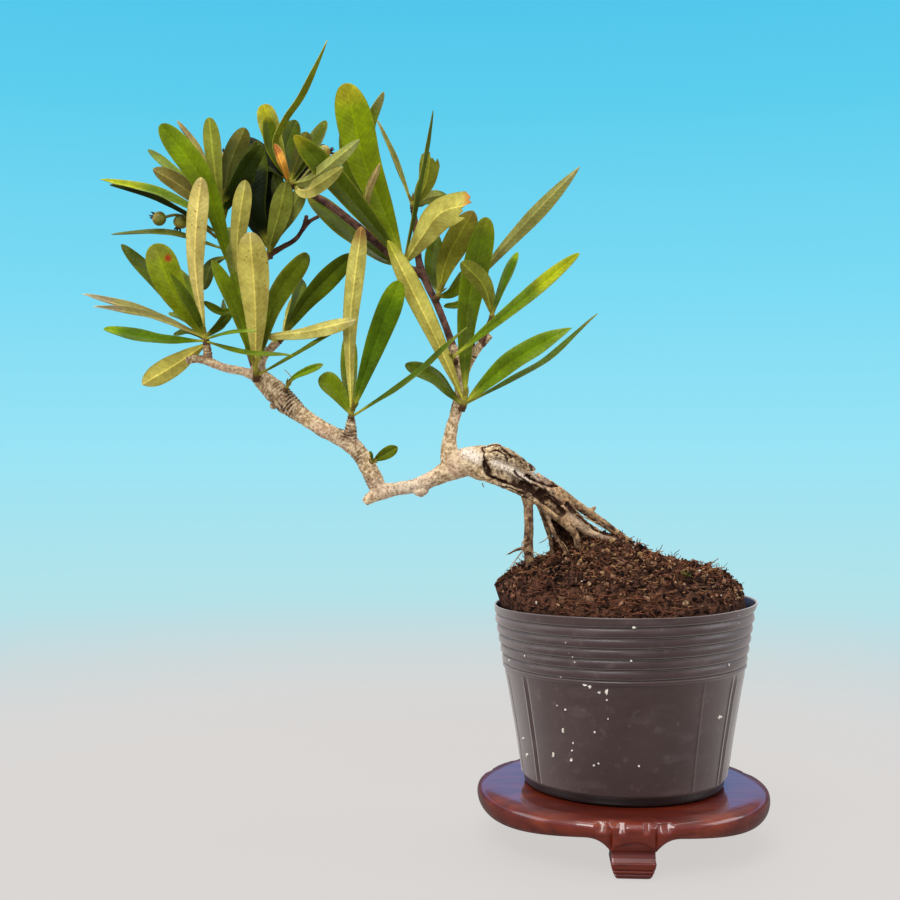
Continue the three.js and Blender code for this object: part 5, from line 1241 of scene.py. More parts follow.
# Leaves. Narrow evergreen leaves in whorls on short shoots: leathery, glossy green and channelled
# above, matte and tan below with a raised yellow midrib. Each spray is one piece, with its stem,
# the leaves that grow from it and the scales of the bud at its end.
# Name: the stem's places [x, z, depth, width], then for each leaf [share along the stem, places
# after its root, width, turn, look, tip]. `turn` is 0 where its upper side faces the camera,
# 180 where its underside does, and near 90 or -90 where it is edge on. A leaf is green and its
# tip plain where nothing else is said.
SPRAYS = {
    "leaves_tip": [
        [[-117, 138.9, 3.1, 3.4], [-117.3, 140.6, 2.7, 3], [-117.5, 142.2, 2.4, 1.6]],
        [0.5, [[-126.5, 154, -2], [-132, 167.4, -6]], 9.2, 12, "fresh", "round"],
        [0.8, [[-121.4, 149.5, -3], [-127.3, 159.2, -7]], 3.4, 35, "deep", "sharp"],
        [
            0.8, [[-120.1, 160, 0], [-119.9, 173, -2], [-118.5, 186.3, -4]], 6, 172,
            "tan_specked", "round",
        ],
        [0.6, [[-134, 147.8, 5], [-152, 153.3, 8]], 4, 128, "tan_pale", "sharp"],
        [0.7, [[-133, 147, -1], [-149, 149.8, -3]], 4, 120, "tan_pale", "sharp"],
        [0.3, [[-131, 140.4, -7], [-146.2, 143.3, -13]], 4.8, 50, "glossy"],
        [0.1, [[-125.9, 133.2, 8], [-135.2, 127.6, 11]], 6.6, 170, "olive"],
        [0.4, [[-130, 155, 7], [-141.2, 167.3, 9]], 4.8, 30, "deep"],
        [0.4, [[-122, 142.5, 7], [-126.4, 141.8, 10]], 2.4, 40, "deep"],
        [0.3, [[-106, 136.5, -9], [-92.5, 135.9, -12]], 2.8, -60, "bright", "sharp"],
        [0.5, [[-110, 142.3, -7], [-103, 142.8, -10]], 1.8, -60, "yellowish"],
        [0.7, [[-113, 145, 9], [-109.5, 149, 14]], 3, 20, "deep"],
        [0.9, [[-122, 152, 13], [-127, 161, 24]], 6.4, 20],
        [0.6, [[-113, 146, 20], [-112, 151, 34]], 5.6, 60],
        [0.7, [[-121, 145, 17], [-127, 148, 31]], 6, 55],
    ],
    "leaves_front": [
        [[-102.9, 128.6, 1.9, 3.2], [-103, 130.6, 0.6, 3], [-103.2, 133, -0.6, 1.6]],
        [0.5, [[-103.2, 150, -4], [-104.7, 170.8, -6]], 8.8, 176, "tan_shaded", "round"],
        [0.7, [[-108.3, 148, -1], [-115.4, 162.8, -4]], 4.8, 25],
        [0.7, [[-106.8, 149, 3], [-109.6, 160, 4]], 4.6, 5],
        [0.8, [[-97.6, 151.6, 2], [-88.4, 164.8, 4]], 6.6, 20, "two_tone", "round"],
        [0.4, [[-93, 135.4, -3], [-79.4, 143.2, -4]], 2.8, -70, "deep"],
    ],
    "leaves_stub": [
        [[-97.3, 139.2, 7.9, 3.6], [-95.9, 140.4, 8.2, 3], [-94.9, 141.8, 8.4, 1.6]],
        [0.6, [[-88.2, 151.8, 9], [-75.6, 164.6, 12]], 6.4, 20, "deep"],
        [0.2, [[-99.2, 141, 3], [-89, 142.4, -2], [-74.6, 145.8, -10]], 4.6, 145, "tan"],
        [0.9, [[-92, 150, 17], [-89.5, 157, 27]], 6, 40],
        [0.8, [[-93, 147, 20], [-93, 152, 32]], 5.6, 150, "olive"],
    ],
    "leaves_rise": [
        [
            [-106, 149.5, 10.8, 3.9],
            [-107.5, 153, 10, 2],
            [-110, 160, 8.6, 1.8],
            [-112, 168, 7.6, 1.7],
            [-112.8, 175, 7, 1.6],
            [-113, 181, 6.8, 1.4],
        ],
        [0.55, [[-128, 170.3, 6], [-144, 170.2, 3]], 4.6, 72, "grey", "sharp"],
        [0.75, [[-130, 181.4, 4], [-147, 185.8, 0]], 4.8, 55, "yellow_tip", "sharp"],
        [0.65, [[-130.5, 179.6, 3], [-144.4, 184.2, -4]], 4.8, 108, "black"],
        [0.8, [[-125, 184.3, 9], [-132.2, 188.6, 11]], 5.6, 160, "grey_brown"],
        [0.85, [[-125, 186.8, 14], [-133.6, 194.2, 18]], 3.6, 40],
        [0.35, [[-117.6, 184, 3], [-130, 201.4, 0]], 7.4, 10, "big_green", "round"],
        [0.85, [[-118.6, 192.4, 13], [-125.3, 202.3, 15]], 2.8, 130, "brown"],
        [0.75, [[-114.8, 190, 5], [-116.3, 203.3, 4]], 5, 168, "olive_green", "round"],
        [0.7, [[-110.8, 188, 9], [-106.2, 200.4, 9]], 6.6, 160, "dark_olive", "round"],
        [0.9, [[-107.6, 186.4, 4.5], [-101.4, 195.6, 3.5]], 5.4, 25, "dark_green"],
        [0.8, [[-108.6, 183, 8], [-103.4, 187.4, 7]], 4.6, 30, "dark_green"],
        [
            0.2, [[-108.2, 168, 5], [-107.4, 176, 4], [-106, 185.5, 4]], 5.4, 170,
            "light_olive", "round",
        ],
        [0.1, [[-109.4, 163.5, 7], [-108, 169.9, 6]], 4.8, 170, "grey", "round"],
        [0.5, [[-115.5, 161.5, 6], [-118, 154.4, 5]], 4, 165, "dull"],
        [0.05, [[-112.5, 148, 6], [-118, 151, 4]], 2.8, 40, "deep"],
        [0.9, [[-118, 188, 19], [-121, 193.5, 30]], 5.6, 30],
        [0.6, [[-115, 174, 18], [-119, 179, 32]], 6, 60],
        [0.4, [[-110, 166, 20], [-110, 172, 33]], 6, 20],
    ],
    "leaves_mid": [
        [[-99.3, 163.4, 12.6, 3.8], [-99.2, 165.6, 11.5, 2.4], [-99.2, 168, 10.6, 1.5]],
        [0.6, [[-103.3, 179, 9], [-102.6, 196.6, 11]], 7.4, 15, "dark_rising"],
        [0.3, [[-98.6, 168, 8], [-96.4, 176, 6], [-94.4, 185.2, 6]], 6.4, 166, "mid_olive"],
        [0.6, [[-95.6, 173, 9], [-92, 179, 7], [-89.6, 184, 5]], 5.2, 160, "grey"],
        [0.6, [[-101, 172, 19], [-102, 176, 30]], 6, 40],
        [0.9, [[-98.6, 171, 20], [-98, 171, 33]], 6, 80],
        [0.5, [[-104.6, 175, 15], [-107.4, 187.5, 19]], 5.6, 25, "shade"],
        [0.5, [[-98.4, 178, 16], [-100.6, 194, 21]], 6.2, 8, "shade"],
        [0.7, [[-95.6, 176, 14], [-97.4, 188, 16]], 4.6, -15, "dark_rising"],
    ],
    "leaves_crown": [
        [[-91.2, 183.3, 11.9, 3.4], [-92.6, 184.3, 12.1, 3.2], [-93.6, 185.6, 12.2, 1.8]],
        [0.7, [[-97.8, 193, 11], [-100, 203.8, 10]], 5.2, 30, "yellow_edge"],
        [0.9, [[-98, 197, 15], [-100.8, 207, 17]], 6.2, 0, "yellow_top", "round"],
        [
            0.6, [[-97.8, 195, 8], [-94.9, 202.6, 7], [-90.3, 209.6, 6], [-82.7, 225.2, 3]], 3, 50,
            "long_slim", "sharp",
        ],
        [0.9, [[-94.6, 194, 16], [-91.6, 202.5, 19]], 6, 20, "deep"],
        [0.8, [[-91, 192, 13], [-88.6, 199.2, 14]], 4.8, 160, "dark_olive", "round"],
        [0.6, [[-88, 193, 17], [-83.2, 202.4, 22]], 4.8, -30, "two_tone"],
        [0.3, [[-89.6, 182.4, 0], [-85.4, 184.2, -11.5], [-78.3, 189.2, -15]], 4.8, 150, "curled"],
        [
            0.5, [[-86.4, 186.4, -8], [-81.4, 190.4, -13], [-73.6, 197, -16]], 4.4, 155,
            "light_grey",
        ],
        [0.7, [[-99.5, 189.5, 17], [-107.4, 185.4, 22]], 5, 30, "deep"],
        [0.5, [[-98.6, 191, 15], [-106.4, 197.6, 19]], 4.4, 20, "shade"],
        [0.5, [[-93.6, 191, 18], [-94.6, 203, 22]], 4.8, 10, "shade"],
        [0.6, [[-90.4, 190, 15], [-87.6, 197.6, 17]], 4, -20, "deep"],
        [0.4, [[-88.4, 188, 17], [-83.6, 195.6, 21]], 4.2, -20, "shade"],
        [0.2, [[-96.4, 181, 17], [-103.6, 175, 22]], 4.6, 30, "shade"],
        [0.9, [[-93, 192, 25], [-92, 197, 37]], 6, 30],
        [0.6, [[-89, 186, 24], [-86, 189, 36]], 5.6, 70],
        [0.5, [[-96, 185, 24], [-98, 187, 36]], 5.6, 100, "olive"],
    ],
    "leaves_upper": [
        [[-60.8, 161, 6.9, 3.9], [-61, 161.8, 5.2, 3.2], [-61.6, 163.4, 3.4, 1.8]],
        [
            0.7, [[-66.4, 176, 1], [-72.1, 190, -2], [-75.6, 204, -5], [-77.8, 213, -7]], 10.4, 10,
            "broad_light", "round",
        ],
        [0.7, [[-69.5, 188, 6], [-71.3, 200, 7], [-66.8, 210.6, 7]], 5, 40, "pale_fold"],
        [0.6, [[-76.8, 181, -5], [-92.2, 198.2, -10]], 7, 20, "yellow_edge"],
        [0.2, [[-65.8, 162.6, 9], [-72.2, 167.2, 14], [-88.2, 181.4, 19]], 7.4, 30, "yellow_edge"],
        [0.4, [[-57.6, 180, 1], [-52.7, 205.2, -3]], 4, 72, "deep", "sharp"],
        [
            0.4, [[-55.8, 169.5, -2], [-50.5, 176.2, -5], [-41.6, 178.8, -8]], 9.2, 165,
            "ragged", "torn",
        ],
        [0.8, [[-73.2, 180, 9], [-79, 198.8, 11]], 4.6, 10, "deep"],
        [0.9, [[-71.4, 174.5, 0.5], [-72, 180, -1.5], [-67.9, 190.2, -7]], 3, 140, "brown"],
    ],
    "leaves_top": [
        [[-58.3, 176.6, 9.9, 3], [-58.6, 178.2, 10.1, 2.6], [-58.8, 179.8, 10.2, 1.4]],
        [0.5, [[-62.8, 189, 14], [-68.8, 202.9, 18]], 3.2, 120, "back_tan", "sharp"],
        [0.4, [[-55, 184, 9], [-53.4, 193.6, 8]], 6, 172, "olive_shaded", "torn"],
        [0.6, [[-54, 180.5, 15], [-49.2, 181.5, 20]], 4.4, 160, "deep"],
        [0.8, [[-56.5, 183, 20], [-54, 188.5, 31]], 5, 30],
        [0.5, [[-55, 180, 21], [-53, 182, 33]], 5.6, 80, "olive"],
    ],
    "leaves_side": [
        [[-52.1, 151.6, 6.5, 3.6], [-51.3, 152.8, 5.2, 2.8], [-50.8, 154.4, 4.4, 1.6]],
        [0.6, [[-48.8, 163, 3], [-41.4, 176.8, 1]], 8, 165, "olive_brown"],
        [0.5, [[-53.2, 161, 10], [-51.6, 170, 12]], 4.8, 10, "deep"],
        [0.3, [[-47.5, 153.8, 8], [-42.5, 160, 11]], 4.6, 20],
        [0.7, [[-51, 160, 17], [-50, 166, 28]], 5.6, 40],
    ],
    "leaves_whorl": [
        [[-44.8, 120.4, 0.4, 3.6], [-44, 122, -0.4, 3], [-43.6, 124.4, -0.8, 1.8]],
        [0.6, [[-52.2, 141, -4], [-65.6, 168.4, -7]], 6, 165, "long_tan"],
        [
            0.6, [[-31, 133.6, -4], [-23, 138.6, -6], [-13.5, 143.7, -8]], 6.4, -25,
            "light_green", "sharp",
        ],
        [0.5, [[-31, 128.6, 2], [-20.4, 134.6, 5], [-6.3, 147.7, 8]], 3.4, -60, "narrow", "sharp"],
        [0.8, [[-43.2, 147, 2.4], [-37.6, 175, 2]], 7.8, 10, "bright", "round"],
        [0.4, [[-48.2, 125.2, 0.6], [-52.5, 129.6, 4], [-60.7, 133.3, 7]], 4.8, 20, "deep"],
    ],
    "leaves_fork": [
        [[-46.5, 133.8, 2.6, 3.2], [-47.5, 134.6, 0.4, 2.6], [-47.6, 135.6, -2.4, 1.6]],
        [0.7, [[-31.2, 148.2, -6], [-11.3, 164.8, -10]], 4.6, -32, "yellow_tip"],
    ],
    "leaves_right": [
        [[-36.4, 145.4, 0.6, 3], [-36.1, 147, -0.2, 2.6], [-36.2, 148.6, -0.8, 1.4]],
        [0.5, [[-33, 155.5, 2], [-28.8, 165.1, 4]], 3.2, -30, "glossy"],
        [0.6, [[-38.4, 155.5, -5], [-44.8, 162.4, -8]], 5.6, 165, "olive_green"],
        [0.5, [[-36.5, 152, 12], [-36, 155, 22]], 5, 60],
    ],
    "leaves_back": [
        [[-40.7, 153.8, 11.7, 3], [-40.3, 156.4, 12.4, 2.6], [-39.6, 158.8, 12.8, 1.6]],
        [
            0.6, [[-34.5, 164.5, 10], [-25, 174.8, 8], [-11.1, 189.4, 4]], 5, 150,
            "back_tan", "sharp",
        ],
        [0.1, [[-45.5, 150.2, 12], [-49.8, 149.7, 12]], 2.6, 40],
        [0.9, [[-41, 165, 18], [-42, 170, 29]], 6, 30],
        [0.5, [[-38, 160, 22], [-36, 162, 34]], 6, 80, "olive"],
    ],
    "leaves_spur": [
        [[-76.1, 117.2, -3.4, 3.4], [-76, 118.8, -3.7, 3], [-75.8, 120.6, -4, 1.8]],
        [
            0.6, [[-76.4, 143, -5], [-75.2, 156, -6], [-73.1, 172.4, -6]], 5.2, 178,
            "dry_tipped", "round",
        ],
        [0.6, [[-69.4, 138.4, -5], [-62.4, 157, -8]], 7, 8, "glossy", "round"],
        [0.4, [[-59, 129.2, -8], [-43.2, 143.9, -12]], 3.8, -65, "narrow", "sharp"],
        [0.5, [[-80, 125.5, -2], [-84.4, 130.4, -1]], 5.8, 5, "green", "round"],
        [0.7, [[-76.8, 129, 8], [-76.6, 142, 20]], 5.4, 20],
        [0.6, [[-75, 123, 10], [-74, 127, 22]], 5, 80, "olive"],
    ],
    "leaf_low": [
        [[-70.3, 105.8, -3.6, 2.6], [-69.6, 106, -5.2, 1.8]],
        [0.6, [[-67, 107.5, -7], [-62.9, 109.9, -9]], 3.4, 0],
        [0.4, [[-70.3, 107.2, -6], [-70.8, 108.6, -7]], 1.6, 60],
    ],
    "leaf_knuckle": [
        [[-94.6, 125.9, 0.6, 2.4], [-93.9, 127.6, -0.6, 1.4]],
        [0.7, [[-92.4, 129.4, -1.5], [-84, 133.3, -5]], 2.3, -20, "yellowish"],
    ],
}
# Looks: upper side, underside, colour of the tip and the share of the leaf it starts at, margin,
# brown dots
UNDERSIDE = (160, 154, 86)
LOOKS = {
    "fresh": [(150, 168, 40), UNDERSIDE, (142, 148, 48), 0.8, (150, 160, 60), 0],
    "green": [(106, 124, 14), UNDERSIDE, (108, 124, 26), 0.85, (126, 142, 44), 0],
    "big_green": [(112, 134, 10), UNDERSIDE, (112, 136, 14), 0.8, (132, 150, 46), 0],
    "deep": [(84, 100, 18), (118, 122, 60), (88, 104, 18), 0.85, (104, 120, 34), 0],
    "shade": [(26, 34, 5), (108, 116, 54), (40, 50, 10), 0.9, (44, 55, 14), 0],
    # Painted shade: this look's underside, which faces the camera, is painted dark as in shadow,
    # and its upper side is lit.
    "black": [(84, 102, 20), (44, 54, 12), (80, 94, 16), 0.85, (60, 72, 20), 0],
    "bright": [(94, 113, 14), UNDERSIDE, (140, 150, 28), 0.88, (128, 144, 40), 0],
    "yellow_top": [(144, 146, 40), UNDERSIDE, (186, 182, 38), 0.82, (176, 178, 60), 0],
    "glossy": [(82, 110, 8), (140, 142, 70), (130, 158, 20), 0.82, (116, 138, 24), 0],
    "light_green": [(104, 132, 12), (150, 156, 76), (124, 150, 46), 0.8, (140, 160, 56), 0],
    "yellowish": [(104, 132, 26), (160, 160, 76), (140, 160, 60), 0.8, (140, 158, 56), 0],
    "yellow_tip": [(104, 130, 30), (150, 150, 76), (164, 174, 26), 0.62, (150, 162, 50), 0],
    "yellow_edge": [(82, 97, 6), (150, 150, 76), (172, 166, 30), 0.88, (160, 158, 44), 0],
    "two_tone": [(96, 110, 22), (132, 144, 62), (110, 122, 36), 0.85, (160, 166, 84), 0],
    "grey": [(98, 106, 44), (116, 124, 62), (120, 132, 70), 0.85, (140, 144, 84), 0],
    "light_grey": [(112, 120, 60), (140, 144, 84), (140, 148, 84), 0.85, (150, 152, 92), 0],
    "mid_olive": [(84, 98, 28), (112, 118, 48), (110, 116, 46), 0.85, (124, 126, 54), 0],
    # Painted shade: this look's upper side, which faces the camera, is painted dark as in shadow,
    # and its underside is lit.
    "dark_green": [(46, 60, 12), (112, 120, 56), (74, 88, 26), 0.8, (70, 84, 26), 0],
    "grey_brown": [(92, 102, 40), (134, 124, 68), (136, 124, 70), 0.85, (158, 150, 86), 0],
    "dull": [(82, 98, 40), (108, 120, 66), (98, 110, 66), 0.85, (112, 126, 84), 0],
    "tan": [(112, 122, 46), (188, 180, 112), (180, 170, 110), 0.85, (176, 172, 100), 0.2],
    "tan_pale": [(112, 122, 46), (190, 182, 122), (208, 194, 156), 0.7, (186, 180, 124), 0.2],
    "tan_specked": [(112, 122, 46), (206, 190, 126), (216, 198, 128), 0.88, (184, 180, 104), 0.8],
    "tan_shaded": [(112, 122, 46), (186, 174, 98), (200, 184, 112), 0.88, (166, 160, 88), 0.7],
    "long_tan": [(104, 120, 40), (188, 180, 98), (170, 172, 60), 0.85, (120, 134, 40), 0.15],
    "olive": [(100, 110, 36), (208, 198, 106), (212, 200, 106), 0.85, (168, 164, 84), 0.15],
    "olive_shaded": [(92, 102, 30), (126, 132, 44), (126, 132, 46), 0.85, (140, 142, 56), 0],
    "light_olive": [(108, 116, 42), (168, 160, 88), (180, 172, 96), 0.85, (172, 164, 88), 0.2],
    "olive_green": [(88, 106, 32), (134, 140, 58), (134, 142, 50), 0.85, (142, 146, 62), 0],
    "dark_olive": [(64, 76, 22), (84, 88, 38), (104, 102, 42), 0.8, (104, 104, 48), 0],
    "olive_brown": [(92, 98, 34), (132, 132, 48), (138, 122, 52), 0.84, (128, 130, 54), 0.2],
    "brown": [(112, 100, 46), (160, 148, 94), (162, 142, 92), 0.7, (150, 136, 80), 0.2],
    "back_tan": [(104, 116, 46), (138, 138, 84), (152, 150, 100), 0.8, (156, 160, 92), 0.1],
    "narrow": [(78, 100, 20), (112, 132, 44), (120, 128, 50), 0.8, (140, 150, 60), 0],
    "long_slim": [(128, 138, 44), (176, 176, 84), (192, 184, 120), 0.9, (180, 180, 84), 0],
    # Painted shade: this look's upper side, which faces the camera, is painted dark as in shadow,
    # and its underside is lit.
    "dark_rising": [(30, 41, 5), (112, 120, 56), (88, 100, 34), 0.7, (84, 96, 26), 0],
    "broad_light": [(126, 146, 10), (160, 160, 86), (190, 188, 44), 0.84, (138, 152, 44), 0],
    "pale_fold": [(108, 122, 28), (166, 158, 84), (160, 162, 104), 0.85, (174, 170, 84), 0],
    "ragged": [(112, 116, 42), (184, 177, 98), (206, 132, 62), 0.87, (152, 150, 68), 0.2],
    "curled": [(136, 144, 56), (190, 180, 110), (146, 144, 70), 0.6, (180, 176, 96), 0],
    "dry_tipped": [(114, 120, 46), (198, 190, 112), (158, 120, 68), 0.86, (176, 168, 86), 0.5],
    "dry": [(236, 172, 86), (228, 162, 78), (176, 110, 54), 0.7, (238, 190, 112), 0.2],
}
# The upper side is more vivid than its colour in the table, and the underside lighter.
UPPER_GAIN, UNDER_GAIN = (1.15, 1.15, 0.5), (1.15, 1.15, 0.9)
LEAF_FOOT = (178, 178, 62)
# A red-brown spot on one leaf: where it is seen, its radius and its colour
BLEMISH, BLEMISH_RADIUS, BLEMISH_COLOUR = (-127.9, 163.4), 1.1, (186, 62, 36)
BLADE_COLUMNS, BLADE_ROWS = 14, 56
BLADE_THICKNESS = 0.34
PETIOLE_WIDTH = 1.0
MOST_TWIST = 9
# As shares of the blade's half width: how high its halves rise from the midrib, how much their
# edges bend down again, and how much they wave
FOLD, BEND_DOWN, WAVE = 0.34, 0.12, 0.06
RIB_WIDTH, RIB_GROOVE, RIB_RIDGE, RIB_RIDGE_AT_FOOT = 0.28, 0.12, 0.08, 0.24
# How much the leaves' colours vary by chance, and the painted light and shade between each leaf's
# two halves
LEAVES_VARY, FOLD_SHADE_VARY = 0.07, 0.06
OLD_STEM, YOUNG_STEM, BUD_SCALE = (98, 72, 54), (166, 160, 68), (146, 136, 62)
STEM_SIDES = 12
BUD_SCALES = 7

select()
bpy.ops.mesh.primitive_grid_add(x_subdivisions=BLADE_COLUMNS, y_subdivisions=BLADE_ROWS, size=2)
blade = bpy.context.object
bpy.ops.object.mode_set(mode="EDIT")
bpy.ops.mesh.select_all(action="SELECT")
bpy.ops.mesh.extrude_region_move(TRANSFORM_OT_translate={"value": (0, 0, 1)})
bpy.ops.mesh.select_all(action="SELECT")
bpy.ops.mesh.normals_make_consistent(inside=False)
bpy.ops.object.mode_set(mode="OBJECT")
blade_places, blade_faces = as_form(blade)
BLADE_ACROSS = blade_places[:, 0]
BLADE_ALONG = 1 - (1 - (blade_places[:, 1] + 1) / 2) ** 1.35
BLADE_IS_UPPER = blade_places[:, 2] > 0.5
chance = np.random.default_rng(23)
# How round and how sharp each form of tip is, its widest share, and how much of the leaf is left
TIPS = {
    "round": (5, 0.5, 0.694, 1),
    "plain": (3, 0.6, 0.586, 1),
    "sharp": (2.2, 0.9, 0.468, 1),
    "torn": (3, 0.6, 0.586, 0.86),
}
# What a torn end lacks, from the left margin to the right one
TEAR = np.interp(
    BLADE_ACROSS,
    [-1, -0.6, -0.35, -0.15, 0.1, 0.3, 0.55, 0.75, 1],
    [0.06, 0.01, 0.04, 0, 0.12, 0.1, 0.17, 0.08, 0.22],
)


def leaf_width(share, width, tip):
    """Widest at two thirds of the leaf, tapering to its stalk. A torn leaf has lost its end."""
    rounding, sharpness, widest, kept = TIPS[tip]
    swell = (share * kept) ** 0.8 * (1 - (share * kept) ** rounding) ** sharpness / widest
    petiole = PETIOLE_WIDTH * smoothstep(1.0, 0.8, share)
    return np.maximum(np.maximum(petiole, 0.12), width * swell)


def leaf_shape(root, places, width, turn, look="green", tip_form="plain"):
    """One leaf's vertices and faces, its colours, and for each vertex its distance from the
    midrib and along the leaf, in cm, and how dotted it is."""
    share_along = BLADE_ALONG * (1 - (tip_form == "torn") * TEAR * BLADE_ALONG**5)
    path = evenly(smooth_path([root, *(seen(*place) for place in places)]), 240)
    heading = unit(np.gradient(path, axis=0))
    shares = np.linspace(0, 1, len(path))
    centre, along = (
        np.stack([np.interp(share_along, shares, line[:, axis]) for axis in range(3)], 1)
        for line in (path, heading)
    )
    flat = unit(np.cross(along, centre - EYE))
    facing = np.cross(along, flat)
    twist = math.radians(MOST_TWIST) * chance.uniform(-1, 1)
    angle = (math.radians(turn) + twist * (share_along - 0.5) * 2)[:, None]
    across = flat * np.cos(angle) + facing * np.sin(angle)
    upper = np.cross(along, across)
    half = leaf_width(share_along, width, tip_form) / 2
    side = np.abs(BLADE_ACROSS)
    from_rib = BLADE_ACROSS * half
    # The blade's halves rise from the midrib, and wave a little at the margin.
    fold = FOLD * half * side**1.2 - BEND_DOWN * half * side**4
    phase = share_along * chance.uniform(1.6, 3) + chance.random()
    wave = WAVE * half * side**2 * np.sin(2 * np.pi * phase + np.sign(BLADE_ACROSS))
    rib = np.exp(-((from_rib / RIB_WIDTH) ** 2))
    slender = smoothstep(0.16, 0.05, share_along)
    body = BLADE_THICKNESS / 2 * (1 - 0.6 * side**5) * (1 - slender * 0.5 * side**2)
    groove = RIB_GROOVE * rib * (1 - slender)
    ridge = rib * (RIB_RIDGE + RIB_RIDGE_AT_FOOT * (1 - share_along))
    rise = np.where(BLADE_IS_UPPER, body - groove, -body - ridge)
    rise += smoothstep(0.0, 0.3, share_along) * (fold + wave)
    shape = centre + across * from_rib[:, None] + upper * rise[:, None]

    top, under, tip, tip_start, margin, dots = LOOKS[look]
    is_upper = BLADE_IS_UPPER[:, None]
    colour = np.where(is_upper, rgb(top) * UPPER_GAIN, rgb(under) * UNDER_GAIN)
    colour = colour * (1 + LEAVES_VARY * chance.standard_normal())
    # Painted light and shade of the fold: one half of each leaf is painted lighter and the other
    # darker, by a chance amount.
    fold_light_and_shade = FOLD_SHADE_VARY * chance.standard_normal() * np.sign(BLADE_ACROSS)
    colour = colour * (1 + fold_light_and_shade)[:, None]
    # Painted shade: each leaf is painted darker towards its base, where the foliage shades it.
    painted_base_shade = np.where(BLADE_IS_UPPER, 0.68 + 0.42 * share_along, 0.88 + 0.18 * share_along)
    colour = colour * painted_base_shade[:, None]
    from_blemish = np.linalg.norm(on_plane(shape) - BLEMISH, axis=1)
    for share, other in (
        (smoothstep(tip_start, tip_start + 0.12, share_along), tip),
        (0.6 * smoothstep(0.82, 1, side) * smoothstep(0.1, 0.3, share_along), margin),
        (0.85 * smoothstep(0.2, 0.02, share_along), LEAF_FOOT),
        ((look == "fresh") * np.exp(-((from_blemish / BLEMISH_RADIUS) ** 4)), BLEMISH_COLOUR),
    ):
        colour = colour + (rgb(other) - colour) * share[:, None]
    marks = [np.abs(from_rib) / 10, travelled(path)[-1] * share_along / 10, dots * ~BLADE_IS_UPPER]
    return (shape, blade_faces), np.hstack([colour, ~is_upper]), np.stack(marks, 1)


def plain(shape, colour):
    """A shape that is not a blade: one colour, or one for each vertex, and no leaf marks."""
    count = len(shape[0])
    colours = np.hstack([np.broadcast_to(colour, (count, 3)), np.ones((count, 1))])
    return shape, colours, np.tile((9.0, 0.0, 0.0), (count, 1))


def stem_shape(places):
    """A stem, ringed where old leaves stood, brown and then green towards its end."""
    path, radii = limb_path(places)
    radii = radii * 0.62 * (1 + 0.09 * np.sin(travelled(path) * 2 * math.pi / 0.9))
    shape = tube(path, radii, STEM_SIDES)
    share = np.repeat(np.linspace(0, 1, len(path)), STEM_SIDES)
    share = smoothstep(0.3, 0.8, share)[:, None]
    return plain(shape, rgb(OLD_STEM) * (1 - share) + rgb(YOUNG_STEM) * share)


def spray_piece(name, stem, leaves):
    """A spray: its stem, its leaves and the bud scales at its end."""
    line = smooth_path([seen(*place[:3]) for place in stem], 20)
    steps = np.arange(len(line)) / (len(line) - 1)
    parts = [stem_shape(stem)]
    for share, places, *form in leaves:
        root = np.array([np.interp(share, steps, line[:, axis]) for axis in range(3)])
        parts.append(leaf_shape(root, places, *form))
    tip = line[-1]
    ahead = (tip - line[-4]) / np.linalg.norm(tip - line[-4])
    for _ in range(BUD_SCALES):
        out = chance.standard_normal(3) * 0.55
        path = [tip - ahead * 0.8, tip + ahead * 0.5 + out * 0.5, tip + ahead * 1.9 + out]
        scale = tube(smooth_path(path, 4), [0.3, 0.36, 0.4, 0.4, 0.36, 0.3, 0.22, 0.14, 0.05])
        parts.append(plain(scale, tinted(BUD_SCALE, 0.2)))
    shapes, colours, marks = zip(*parts)
    piece, _ = gathered(name, shapes)
    point_colours(piece, "tint", np.concatenate(colours))
    point_colours(piece, "leaf_marks", np.concatenate(marks))
    return piece


# The leaf's skin: fine side veins, a pale midrib, uneven green, and brown dots on some undersides
leaf_skin, tree, shader = new_material("pyracantha_leaf")
tint = attribute(tree, "tint")
underside = tint["Alpha"]
marks = attribute(tree, "leaf_marks")["Color"]
marks = node(tree, "ShaderNodeSeparateColor", {"Color": marks}).outputs
from_rib, along_leaf, dots = marks["Red"], marks["Green"], marks["Blue"]
rib = soft_step(tree, from_rib, 0.008, 0.034, 1.0, 0.0)
vein_wave = maths(tree, "MULTIPLY_ADD", along_leaf, 21.0, times(tree, from_rib, -19.0))
veins = maths(tree, "POWER", maths(tree, "ABSOLUTE", maths(tree, "SINE", vein_wave)), 6.0)
mottle = mix(tree, patches(tree, 170, 0.3, 0.7), linear(214, 210, 196), linear(255, 255, 255))
skin = mix(tree, 1.0, tint["Color"], mottle, "MULTIPLY")
fine = mix(tree, patches(tree, 800, 0.3, 0.7, 2), linear(232, 230, 220), linear(255, 255, 255))
skin = mix(tree, 1.0, skin, fine, "MULTIPLY")
skin = mix(tree, times(tree, veins, 0.3), skin, (1.35, 1.3, 1.2, 1), "MULTIPLY")
rib_share = times(tree, rib, maths(tree, "MULTIPLY_ADD", underside, 0.4, 0.3))
skin = mix(tree, rib_share, skin, (1.9, 1.8, 1.8, 1), "MULTIPLY")
cells = {"Vector": object_place(tree), "Scale": 800.0}
cells = node(tree, "ShaderNodeTexVoronoi", cells, feature="F1").outputs["Distance"]
specks = times(tree, maths(tree, "LESS_THAN", cells, 0.2), patches(tree, 300, 0.5, 0.6, 2))
rough = maths(tree, "MULTIPLY_ADD", underside, 0.28, 0.4)
relief = maths(tree, "MULTIPLY_ADD", veins, 0.5, patches(tree, 420, 0.2, 0.8, 2))
